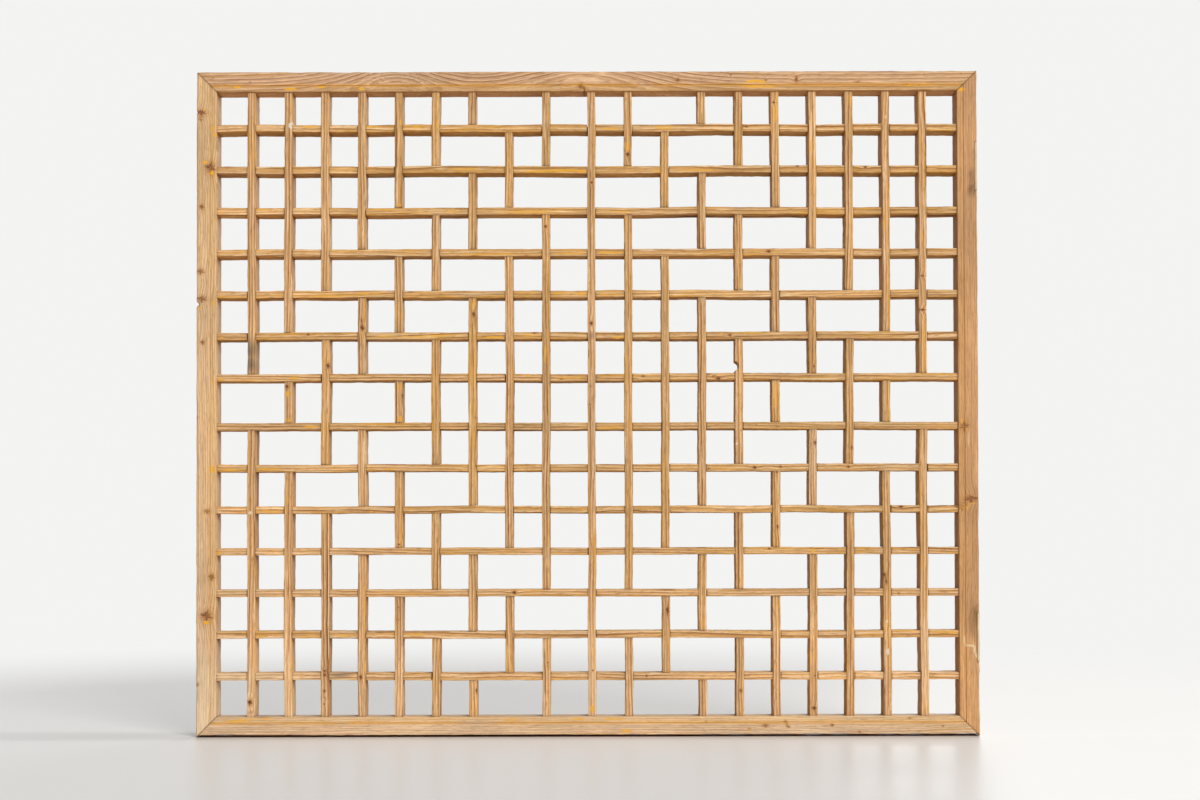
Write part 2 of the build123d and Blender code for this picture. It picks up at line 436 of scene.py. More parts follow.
@dataclass(frozen=True)
class Chips:
    """Knocks along an edge: their usual spacing, reach and size, and the most they take together."""

    spacing: float
    reach: Pair
    size: Pair
    most: float

    def along(self, s: Array, low: float, high: float, rng: Rng) -> Array:
        """Extra rounding of an edge where it is chipped.

        Args:
            s: Places along the edge.
            low: Where the edge starts.
            high: Where it stops.
            rng: Source of the chips.

        Returns:
            Extra radius at each place.
        """
        extra = np.zeros_like(s)
        for _ in range(rng.poisson((high - low) / self.spacing)):
            middle = rng.uniform(low, high)
            reach = rng.uniform(*self.reach)
            extra += rng.uniform(*self.size) * hump(s - middle, reach)
        return np.minimum(extra, self.most)


@dataclass(frozen=True)
class SeamGrime:
    """Dirt at a joint: a dark line in it and a faint shade beside it, each with its reach."""

    line: float
    line_reach: float
    shade: float
    shade_reach: float

    def at(self, gap: Array) -> Array:
        """How dirty the wood is at a distance from the joint."""
        return self.line * np.exp(-gap / self.line_reach) + self.shade * np.exp(-gap / self.shade_reach)

    def beside(self, s: Array, seams: Sequence[float]) -> Array:
        """How dirty the wood is along s, by the nearest of some joints."""
        return self.at(np.min([np.abs(s - seam) for seam in seams], axis=0))


@dataclass
class Shell:
    """One closed skin, in the panel's frame, with what the finish reads at each point."""

    points: Array
    faces: Faces
    traits: dict[str, Array]


def skin(rings: Array) -> tuple[Array, Faces]:
    """Join a stack of rings into a closed skin, welding points that coincide.

    Args:
        rings: Points of shape (rings, points around, 3).

    Returns:
        Welded points and faces.
    """
    count, around, _ = rings.shape
    flat_list = rings.reshape(-1, 3)
    keys = np.round(flat_list / WELD).astype(np.int64)
    _, first, inverse = np.unique(keys, axis=0, return_index=True, return_inverse=True)
    index = inverse.reshape(count, around)
    turned = np.roll(index, -1, axis=1)
    quads = np.stack([index[:-1], turned[:-1], turned[1:], index[1:]], axis=-1).reshape(-1, 4)
    loops = quads.tolist() + [index[0, ::-1].tolist(), index[-1].tolist()]
    corners = [list(dict.fromkeys(loop)) for loop in loops]
    return flat_list[first], [loop for loop in corners if len(loop) > 2]


def outward(points: Array, faces: Faces) -> Faces:
    """Turn all faces round if they look inward.

    Args:
        points: Points of a closed skin.
        faces: Its faces, all wound one way.

    Returns:
        The faces, looking outward.
    """
    corners = np.array([(loop[0], loop[i], loop[i + 1]) for loop in faces for i in range(1, len(loop) - 1)])
    a, b, c = (points[corners[:, i]] for i in range(3))
    volume = np.einsum("ij,ij->i", a, np.cross(b, c)).sum()
    return faces if volume > 0 else [loop[::-1] for loop in faces]


def arc(side: Array, face: Array, radius: Array, quarter: Quarter, count: int) -> Section:
    """Points of a rounded edge, for every ring at once.

    Args:
        side: Places across of the side that the edge ends.
        face: Depths of the front or back that the edge ends.
        radius: Radii.
        quarter: Which edge of the section it is.
        count: Number of points.

    Returns:
        Pairs of places across and in depth.
    """
    on_left = quarter in (Quarter.LEFT_FRONT, Quarter.LEFT_BACK)
    in_front = quarter in (Quarter.LEFT_FRONT, Quarter.RIGHT_FRONT)
    centre_a = side + radius if on_left else side - radius
    centre_d = face + radius if in_front else face - radius
    angles = np.radians(np.linspace(*quarter.value, count))
    return [(centre_a + radius * math.cos(t), centre_d + radius * math.sin(t)) for t in angles]


def flat(first: Array, last: Array, depth: Array, shares: Shares) -> Section:
    """Points of a front or back, at shares of the way between two places across."""
    return [(first + (last - first) * share, depth) for share in shares]


def wall(side: Array, depth: float, shares: Shares) -> Section:
    """Points of a side, at shares of a depth."""
    return [(side, np.full_like(side, share * depth)) for share in shares]


def laid_out(section: Section) -> tuple[Array, Array]:
    """Places across and depths of a section's points, a row for each ring."""
    across, depth = zip(*section)
    return np.stack(across, axis=1), np.stack(depth, axis=1)


def joined(along: Array, across: Array, depth: Array) -> Array:
    """Rings of points (s, a, d) from their places along, across and in depth."""
    return np.stack(np.broadcast_arrays(along, across, depth), axis=-1)


def refined(start: float, stop: float, step: float, extra: Sequence[float]) -> Array:
    """Even places along a stretch, and the extra ones that lie inside it.

    Args:
        start: Where the stretch starts.
        stop: Where it stops.
        step: The most between even places.
        extra: Places wanted besides, inside the stretch or not.

    Returns:
        The places in order.
    """
    even = np.linspace(start, stop, math.ceil((stop - start) / step) + 1)
    inside = [place for place in extra if start < place < stop]
    return np.unique(np.concatenate([even, inside]))


@dataclass(frozen=True)
class PlacedMark:
    """A mark in a piece's own lengths: along the grain, across it, and its half sizes."""

    kind: MarkKind
    s: float
    a: float
    half_s: float
    half_a: float
    strength: float

    def offset(self, local: Array, stretch: float = 1.0) -> tuple[Array, Array]:
        """How far points lie along and across from the mark, in its half sizes."""
        return (local[..., 0] - self.s) / (stretch * self.half_s), (local[..., 1] - self.a) / self.half_a


@dataclass(frozen=True)
class PlacedBite:
    """A bite in a piece's own lengths."""

    s: float
    length: float
    depth: float

    def places(self, step: float) -> Array:
        """Close places along the edge for its rings."""
        reach = BITE_MARGIN * self.length
        return np.arange(self.s - reach, self.s + reach, step)


@dataclass(frozen=True)
class MarkLayer:
    """Kinds of mark that share a trait, with their signs, and how far and how deep a mark reaches."""

    signs: dict[MarkKind, float]
    spread: float
    deep: float
    least_spread: float = 5.0 * MM
    fade: float = 1.5
    front_share: float = 0.5


KNOT_LAYER = MarkLayer({KNOT: 1.0}, spread=2.7, deep=14.0 * MM)
PAINT_LAYER = MarkLayer({YELLOW: 1.0, PALE: -1.0, WHITE: -2.0}, spread=1.8, deep=5.0 * MM)


def bite_depth(bites: Sequence[PlacedBite], s: Array, form: BiteForm) -> Array:
    """Depth of broken-out edges along s.

    Args:
        bites: The bites.
        s: Places along the edge.
        form: Outline of the bites.

    Returns:
        Depth at each place.
    """
    inner_power, outer_power = form.value
    total = np.zeros_like(s)
    for bite in bites:
        share = np.abs(s - bite.s) / (bite.length / 2)
        total = np.maximum(total, bite.depth * np.clip(1 - share**inner_power, 0, 1) ** outer_power)
    return total


@dataclass(frozen=True)
class Ease:
    """A smooth way from one level to another, while a number goes from low to high."""

    low: float
    high: float
    start: float = 0.0
    stop: float = 1.0

    def sockets(self) -> dict[str, float]:
        """Its levels by the names of a map range's inputs."""
        return {"From Min": self.low, "From Max": self.high, "To Min": self.start, "To Max": self.stop}


@dataclass(frozen=True)
class Noise:
    """Noise in the tree: its changes in a metre along and across, its fineness and its levels."""

    along: float
    across: float
    detail: float = 2.0
    ease: Ease | None = None
    roughness: float = 0.5


class NodeDesk:
    """Short words for wiring a material or a world."""

    def __init__(self, owner: bpy.types.Material | bpy.types.World) -> None:
        """Clear the nodes and start afresh.

        Args:
            owner: The material or world to wire.
        """
        owner.use_nodes = True
        self.tree = owner.node_tree
        self.tree.nodes.clear()

    def feed(self, socket: Socket, value: Any) -> None:
        """Link a socket to another, or set its value.

        Args:
            socket: The socket to feed.
            value: Another socket, or a value.
        """
        if isinstance(value, bpy.types.NodeSocket):
            self.tree.links.new(value, socket)
        else:
            socket.default_value = value

    def node(self, kind: str, inputs: dict[Any, Any] | None = None, **settings: Any) -> bpy.types.Node:
        """Add a node.

        Args:
            kind: The node's type name.
            inputs: Values or sockets by input name or number.
            settings: The node's own settings.

        Returns:
            The node.
        """
        made = self.tree.nodes.new(kind)
        for name, value in settings.items():
            setattr(made, name, value)
        for key, value in (inputs or {}).items():
            self.feed(made.inputs[key], value)
        return made

    def trait(self, name: str) -> Socket:
        """Vector that the mesh carries under a name."""
        return self.node("ShaderNodeAttribute", attribute_name=name).outputs["Vector"]

    def parts(self, vector: Socket) -> tuple[Socket, Socket, Socket]:
        """The three numbers of a vector."""
        outputs = self.node("ShaderNodeSeparateXYZ", {0: vector}).outputs
        return outputs[0], outputs[1], outputs[2]

    def vector(self, x: Any, y: Any, z: Any) -> Socket:
        """A vector from three numbers."""
        return self.node("ShaderNodeCombineXYZ", {0: x, 1: y, 2: z}).outputs[0]

    def scaled(self, vector: Socket, factors: Place) -> Socket:
        """A vector stretched along each axis."""
        return self.node("ShaderNodeVectorMath", {0: vector, 1: factors}, operation="MULTIPLY").outputs[0]

    def length(self, vector: Socket) -> Socket:
        """Length of a vector."""
        return self.node("ShaderNodeVectorMath", {0: vector}, operation="LENGTH").outputs["Value"]

    def math(self, operation: str, *values: Any) -> Socket:
        """Arithmetic on one to three numbers."""
        return self.node("ShaderNodeMath", dict(enumerate(values)), operation=operation).outputs[0]

    def product(self, *values: Any) -> Socket:
        """Several numbers multiplied."""
        return reduce(lambda total, value: self.math("MULTIPLY", total, value), values)

    def line(self, value: Any, factor: Any, base: Any) -> Socket:
        """A number times a factor, plus a base."""
        return self.math("MULTIPLY_ADD", value, factor, base)

    def remap(self, value: Socket, ease: Ease) -> Socket:
        """Ease a number from one level to another."""
        inputs = {"Value": value} | ease.sockets()
        return self.node("ShaderNodeMapRange", inputs, interpolation_type="SMOOTHSTEP").outputs[0]

    def noise(self, vector: Socket, detail: float, roughness: float = 0.5) -> Socket:
        """Cloudy noise from 0 to 1 over a stretched place."""
        inputs = {"Vector": vector, "Scale": 1.0, "Detail": detail, "Roughness": roughness}
        return self.node("ShaderNodeTexNoise", inputs).outputs[0]

    def drawn_out(self, place: Socket, noise: Noise) -> Socket:
        """Noise drawn out along the grain.

        Args:
            place: Place in the tree.
            noise: Its sizes and levels.

        Returns:
            The noise, eased to its levels if it has them.
        """
        stretched = self.scaled(place, (noise.along, noise.across, noise.across))
        level = self.noise(stretched, noise.detail, noise.roughness)
        return self.remap(level, noise.ease) if noise.ease else level

    def line_noise(self, value: Socket, frequency: float) -> Socket:
        """Noise from 0 to 1 along one number."""
        inputs = {"W": self.product(value, frequency), "Scale": 1.0, "Detail": 1.0}
        return self.node("ShaderNodeTexNoise", inputs, noise_dimensions="1D").outputs[0]

    def mix(self, share: Any, first: Any, second: Any, blend: str = "MIX") -> Socket:
        """Mix two colours."""
        inputs = {0: share, 6: self.colour(first), 7: self.colour(second)}
        return self.node("ShaderNodeMix", inputs, data_type="RGBA", blend_type=blend).outputs[2]

    def ramp(self, value: Socket, stops: Sequence[Pair]) -> Socket:
        """Turn a number from 0 to 1 into a brightness.

        Args:
            value: The number.
            stops: Places from 0 to 1, each with its brightness.

        Returns:
            The brightness.
        """
        made = self.node("ShaderNodeValToRGB", {0: value})
        elements = made.color_ramp.elements
        while len(elements) < len(stops):
            elements.new(0.5)
        for element, (place, level) in zip(elements, stops):
            element.position = place
            element.color = (level, level, level, 1.0)
        return made.outputs[0]

    @staticmethod
    def colour(value: Any) -> Any:
        """A colour with its alpha, or the socket as it is."""
        return (*value, 1.0) if isinstance(value, tuple) else value


@dataclass(frozen=True)
class WoodFinish:
    """Bare aged softwood: growth lines, fibres, knots, old paint, grime and worn edges, with painted shade, a
    painted grey cast and painted highlights.
    """

    slot: str
    pale: Colour
    early: Colour
    late: Colour
    line_gap: float
    line_strength: float
    gilt: float = 0.0
    knot_core: float = 0.0

    # Surface
    gloss: Ease = Ease(0.2, 0.8, 0.59, 0.76)
    specular: float = 0.28
    relief: float = 0.4 * MM
    relief_strength: float = 0.45
    line_relief: float = 0.6
    fibre_relief: float = 0.8
    paint_relief: float = 0.7
    grime_relief: float = -1.2

    # Growth lines
    wander: float = 2.0 * MM
    drift: Noise = Noise(5.0, 60.0)
    uneven_years: float = 0.6
    uneven_share: float = 0.8
    line_profile: tuple[Pair, ...] = (
        (0.0, 0.0),
        (0.46, 0.03),
        (0.68, 0.30),
        (0.80, 1.0),
        (0.96, 1.0),
        (1.0, 0.0),
    )
    pale_band: Ease = Ease(0.06, 0.48, 0.75, 0.0)
    year_step: float = 7.3
    year_strength: Ease = Ease(0.3, 0.7, 0.5, 1.0)
    thin_years: float = 2.6
    thin_line: Ease = Ease(0.55, 0.95, 0.0, 0.30)
    patchy: Noise = Noise(5.0, 60.0, 2.0, Ease(0.34, 0.60, 0.6, 1.0))
    fibre: Noise = Noise(32.0, 760.0, 3.0, roughness=0.6)

    # Colour of the clean wood, with painted highlights (glints)
    streaks: Noise = Noise(14.0, 330.0, 2.0, Ease(0.50, 0.66))
    stretches: Noise = Noise(3.5, 45.0, 3.0, Ease(0.46, 0.60))
    edge_gilt: float = 0.9
    most_gilt: float = 0.8
    gilt_colour: Colour = (0.72, 0.395, 0.060)
    # Painted highlights: pale glints along the grain.
    glints: Noise = Noise(11.0, 390.0, 2.0, Ease(0.56, 0.68, 0.0, 0.75))
    pores: Noise = Noise(70.0, 620.0, 2.0, Ease(0.56, 0.68, 0.0, 0.42))
    clouds: Noise = Noise(6.0, 34.0, 3.0, Ease(0.25, 0.75, 0.89, 1.11))
    fibre_level: Ease = Ease(0.28, 0.72, 0.80, 1.13)
    flecks: Noise = Noise(120.0, 2300.0, 1.0, Ease(0.66, 0.76, 1.0, 0.80))
    hue_clouds: Noise = Noise(3.0, 20.0)
    hue_spread: float = 0.6
    warmth_share: float = 0.4
    warmth_base: float = 0.05
    cool_tint: Colour = (1.0, 0.985, 1.06)
    warm_tint: Colour = (1.0, 0.955, 0.76)
    paling: Ease = Ease(-2.0, -0.8, 0.55, 0.0)
    paling_colour: Colour = (0.86, 0.72, 0.50)

    # Knots
    knot_ragged: float = 0.75
    ragged: Noise = Noise(1.7, 1.7, 3.0, roughness=0.6)
    crack_spokes: float = 2.6
    crack_turn: float = 0.8
    crack_detail: float = 3.0
    crack: Ease = Ease(0.50, 0.60)
    crack_reach: Ease = Ease(0.6, 1.6, 0.95, 0.0)
    halo_reach: Ease = Ease(0.6, 2.3, 0.62, 0.0)
    heart_reach: Ease = Ease(0.3, 1.15, 0.9, 0.0)
    core_reach: Pair = (0.2, 0.85)
    halo_colour: Colour = (0.56, 0.275, 0.095)
    heart_colour: Colour = (0.33, 0.125, 0.047)
    knot_colour: Colour = (0.095, 0.034, 0.015)

    # Paint and chips
    paint_ragged: float = 0.62
    paint_reach: Ease = Ease(0.8, 1.2, 1.0, 0.0)
    flaked: Noise = Noise(60.0, 520.0, 3.0, Ease(0.34, 0.50, 0.35, 1.0))
    paint_cover: float = 0.9
    most_chip: float = 0.9
    paint_colour: Colour = (0.90, 0.48, 0.035)
    chip_colour: Colour = (0.84, 0.68, 0.43)
    white_colour: Colour = (0.80, 0.74, 0.69)

    # Wear and grime, with painted shade and a painted grey cast laid through the same layers
    rubbed: Noise = Noise(30.0, 260.0, 3.0, Ease(0.42, 0.68))
    rub_cover: float = 0.55
    worn_colour: Colour = (0.80, 0.56, 0.31)
    weathered: Noise = Noise(16.0, 160.0, 3.0, Ease(0.25, 0.6, 0.45, 1.0))
    dark_threads: Noise = Noise(9.0, 480.0, 3.0, Ease(0.44, 0.60, 0.0, 0.85))
    dark_lines: float = 0.7
    grey_colour: Colour = (0.31, 0.25, 0.19)
    left_paint: Noise = Noise(13.0, 55.0, 4.0, Ease(0.26, 0.46))
    groove_cover: float = 0.85
    dirt: Noise = Noise(60.0, 420.0, 2.0, Ease(0.2, 0.65, 0.35, 1.0))
    grime_and_shade_colour: Colour = (0.115, 0.058, 0.026)

    def material(self) -> bpy.types.Material:
        """Build the finish.

        Returns:
            The material.
        """
        material = bpy.data.materials.new(self.slot)
        WoodCoat(material, self).dress()
        return material


class WoodCoat(NodeDesk):
    """The nodes of one wood finish, laid over each other on a surface colour."""

    def __init__(self, material: bpy.types.Material, wood: WoodFinish) -> None:
        """Start from what the mesh carries at each point.

        Args:
            material: The material to wire.
            wood: Its finish.
        """
        super().__init__(material)
        self.wood = wood
        self.grain = self.trait("grain")
        self.bright, self.warmth, self.grey = self.parts(self.trait("tone"))
        self.edge, self.joint, self.groove = self.parts(self.trait("wear"))
        self.fibre = self.fine(wood.fibre)
        self.lines, bands = self.figure()
        self.surface = self.mix(bands, wood.early, wood.pale)

    def fine(self, noise: Noise) -> Socket:
        """Noise drawn out along the grain."""
        return self.drawn_out(self.grain, noise)

    def lay(self, share: Any, colour: Colour | Socket) -> None:
        """Lay a colour over a share of the surface."""
        self.surface = self.mix(share, self.surface, colour)

    def dress(self) -> None:
        """Lay all that the finish has over the wood, and wire the shader."""
        wood = self.wood
        self.colour_wood()
        self.lay_knots()
        paint = self.lay_paint()
        grime = self.lay_wear()
        height = self.line(self.lines, wood.line_relief, self.product(self.fibre, wood.fibre_relief))
        height = self.line(paint, wood.paint_relief, height)
        height = self.line(grime, wood.grime_relief, height)
        relief = {"Strength": wood.relief_strength, "Distance": wood.relief, "Height": height}
        look = {
            "Base Color": self.surface,
            "Roughness": self.remap(self.fibre, wood.gloss),
            "Normal": self.node("ShaderNodeBump", relief).outputs[0],
            "Specular IOR Level": wood.specular,
        }
        shader = self.node("ShaderNodeBsdfPrincipled", look)
        self.node("ShaderNodeOutputMaterial", {"Surface": shader.outputs[0]})

    def spot(self, name: str, raggedness: float) -> tuple[Socket, Socket, Socket]:
        """Place against the nearest mark, in its own half sizes, and its strength.

        Args:
            name: The trait that holds the mark.
            raggedness: How far noise moves the mark's edge.

        Returns:
            Offset from the mark, ragged distance and signed strength.
        """
        u, v, weight = self.parts(self.trait(name))
        place = self.vector(u, v, 0.0)
        shift = self.line(self.drawn_out(place, self.wood.ragged), 2 * raggedness, -raggedness)
        return place, self.math("ADD", self.length(place), shift), weight

    def figure(self) -> tuple[Socket, Socket]:
        """Growth lines.

        Returns:
            Masks of the dark lines and of the pale bands between them.
        """
        wood = self.wood
        radius = self.length(self.scaled(self.grain, (0.0, 1.0, 1.0)))
        radius = self.line(self.fine(wood.drift), wood.wander, radius)
        years = self.math("DIVIDE", radius, wood.line_gap)
        years = self.line(self.line_noise(years, wood.uneven_years), wood.uneven_share, years)
        phase = self.math("FRACT", years)
        strength = self.line_noise(self.math("FLOOR", years), wood.year_step)
        lines = self.product(self.ramp(phase, wood.line_profile), self.remap(strength, wood.year_strength))
        thin = self.math("FRACT", self.product(years, wood.thin_years))
        lines = self.math("MAXIMUM", lines, self.remap(thin, wood.thin_line))
        return self.product(lines, self.fine(wood.patchy)), self.remap(phase, wood.pale_band)

    def colour_wood(self) -> None:
        """Colour the clean wood, with painted highlights and the tone of the single bar, its painted side
        shade included.
        """
        wood = self.wood
        self.lay(self.product(self.lines, wood.line_strength), wood.late)
        stretches = self.fine(wood.stretches)
        gilt = self.product(self.fine(wood.streaks), stretches, wood.gilt)
        gilt = self.line(self.product(self.edge, stretches), wood.edge_gilt * wood.gilt, gilt)
        self.lay(self.math("MINIMUM", gilt, wood.most_gilt), wood.gilt_colour)
        # Painted highlights: pale glints along the grain.
        self.lay(self.product(self.fine(wood.glints), wood.line_strength), wood.pale)
        self.lay(self.fine(wood.pores), wood.late)
        hue = self.line(self.warmth, wood.warmth_share, wood.warmth_base)
        hue = self.line(self.fine(wood.hue_clouds), wood.hue_spread, hue)
        tint = self.mix(hue, wood.cool_tint, wood.warm_tint)
        self.surface = self.mix(1.0, self.surface, tint, "MULTIPLY")
        # Very low warmth lays a pale colour.
        self.lay(self.remap(self.warmth, wood.paling), wood.paling_colour)
        fibres = self.remap(self.fibre, wood.fibre_level)
        level = self.product(self.fine(wood.clouds), fibres, self.fine(wood.flecks), self.bright)
        inputs = {0: self.surface, "Scale": level}
        self.surface = self.node("ShaderNodeVectorMath", inputs, operation="SCALE").outputs[0]

    def lay_knots(self) -> None:
        """Lay the knots over the wood: a halo, a heart, a core and cracks."""
        wood = self.wood
        place, reach, weight = self.spot("knot", wood.knot_ragged)
        spoke = self.node("ShaderNodeVectorMath", {0: place}, operation="NORMALIZE").outputs[0]
        spoke_u, spoke_v, _ = self.parts(self.scaled(spoke, (wood.crack_spokes, wood.crack_spokes, 1.0)))
        turned = self.vector(spoke_u, spoke_v, self.product(self.length(place), wood.crack_turn))
        cracks = self.remap(self.noise(turned, wood.crack_detail), wood.crack)
        layers = (
            (self.remap(reach, wood.halo_reach), wood.halo_colour),
            (self.remap(reach, wood.heart_reach), wood.heart_colour),
            (self.remap(reach, Ease(*wood.core_reach, wood.knot_core, 0.0)), wood.knot_colour),
            (self.product(cracks, self.remap(reach, wood.crack_reach)), wood.knot_colour),
        )
        for share, colour in layers:
            self.lay(self.product(share, weight), colour)

    def lay_paint(self) -> Socket:
        """Lay remains of yellow paint and pale fresh chips over the wood.

        Returns:
            The paint's mask.
        """
        wood = self.wood
        _, reach, weight = self.spot("mark", wood.paint_ragged)
        mask = self.remap(reach, wood.paint_reach)
        yellow = self.product(mask, self.fine(wood.flaked), self.math("MAXIMUM", weight, 0.0))
        pale = self.product(mask, self.math("MAXIMUM", self.product(weight, -1.0), 0.0))
        white = self.math("MINIMUM", self.math("MAXIMUM", self.math("SUBTRACT", pale, 1.0), 0.0), 1.0)
        self.lay(self.product(yellow, wood.paint_cover), wood.paint_colour)
        self.lay(self.math("MINIMUM", pale, wood.most_chip), wood.chip_colour)
        self.lay(white, wood.white_colour)
        return yellow

    def lay_wear(self) -> Socket:
        """Rub the edges pale, grey the weathered places and the sides' painted grey cast, and lay grime in
        the joints, with painted shade in bites and under the foot.

        Returns:
            The mask of grime and painted shade.
        """
        wood = self.wood
        self.lay(self.product(self.edge, self.fine(wood.rubbed), wood.rub_cover), wood.worn_colour)
        # The grey layer also lays the painted grey cast on the sides.
        dark = self.math("MAXIMUM", self.product(self.lines, wood.dark_lines), self.fine(wood.dark_threads))
        old = self.mix(dark, wood.grey_colour, wood.grime_and_shade_colour)
        self.lay(self.product(self.grey, self.fine(wood.weathered)), old)
        paint = self.product(self.groove, self.fine(wood.left_paint), wood.groove_cover)
        self.lay(paint, wood.paint_colour)
        # This layer carries grime and the painted shade under the foot and in bites.
        grime = self.product(self.joint, self.fine(wood.dirt))
        self.lay(grime, wood.grime_and_shade_colour)
        return grime


LEFT_STILE_WOOD = WoodFinish(
    "left_stile_wood",
    pale=(0.90, 0.71, 0.485),
    early=(0.795, 0.560, 0.312),
    late=(0.42, 0.190, 0.068),
    line_gap=3.6 * MM,
    line_strength=0.58,
    gilt=0.2,
)
RIGHT_STILE_WOOD = WoodFinish(
    "right_stile_wood",
    pale=(0.73, 0.475, 0.262),
    early=(0.640, 0.372, 0.178),
    late=(0.35, 0.148, 0.058),
    line_gap=3.2 * MM,
    line_strength=0.60,
    gilt=0.2,
)
TOP_RAIL_WOOD = WoodFinish(
    "top_rail_wood",
    pale=(0.90, 0.65, 0.42),
    early=(0.675, 0.436, 0.243),
    late=(0.29, 0.108, 0.046),
    line_gap=5.4 * MM,
    line_strength=0.85,
    gilt=0.3,
)
BOTTOM_RAIL_WOOD = WoodFinish(
    "bottom_rail_wood",
    pale=(0.885, 0.735, 0.535),
    early=(0.78, 0.580, 0.368),
    late=(0.44, 0.205, 0.080),
    line_gap=3.6 * MM,
    line_strength=0.55,
    gilt=0.3,
)
CROSS_BAR_WOOD = WoodFinish(
    "cross_bar_wood",
    pale=(0.93, 0.71, 0.43),
    early=(0.740, 0.446, 0.174),
    late=(0.22, 0.074, 0.016),
    line_gap=4.3 * MM,
    line_strength=1.0,
    gilt=0.95,
    knot_core=0.85,
)
UPRIGHT_WOOD = WoodFinish(
    "upright_wood",
    pale=(0.88, 0.655, 0.390),
    early=(0.680, 0.400, 0.160),
    late=(0.22, 0.076, 0.018),
    line_gap=4.4 * MM,
    line_strength=1.0,
    gilt=0.8,
    knot_core=0.85,
)
PATCH_WOOD = WoodFinish(
    "patch_wood",
    pale=(0.93, 0.84, 0.64),
    early=(0.87, 0.73, 0.50),
    late=(0.62, 0.42, 0.22),
    line_gap=2.2 * MM,
    line_strength=0.55,
)


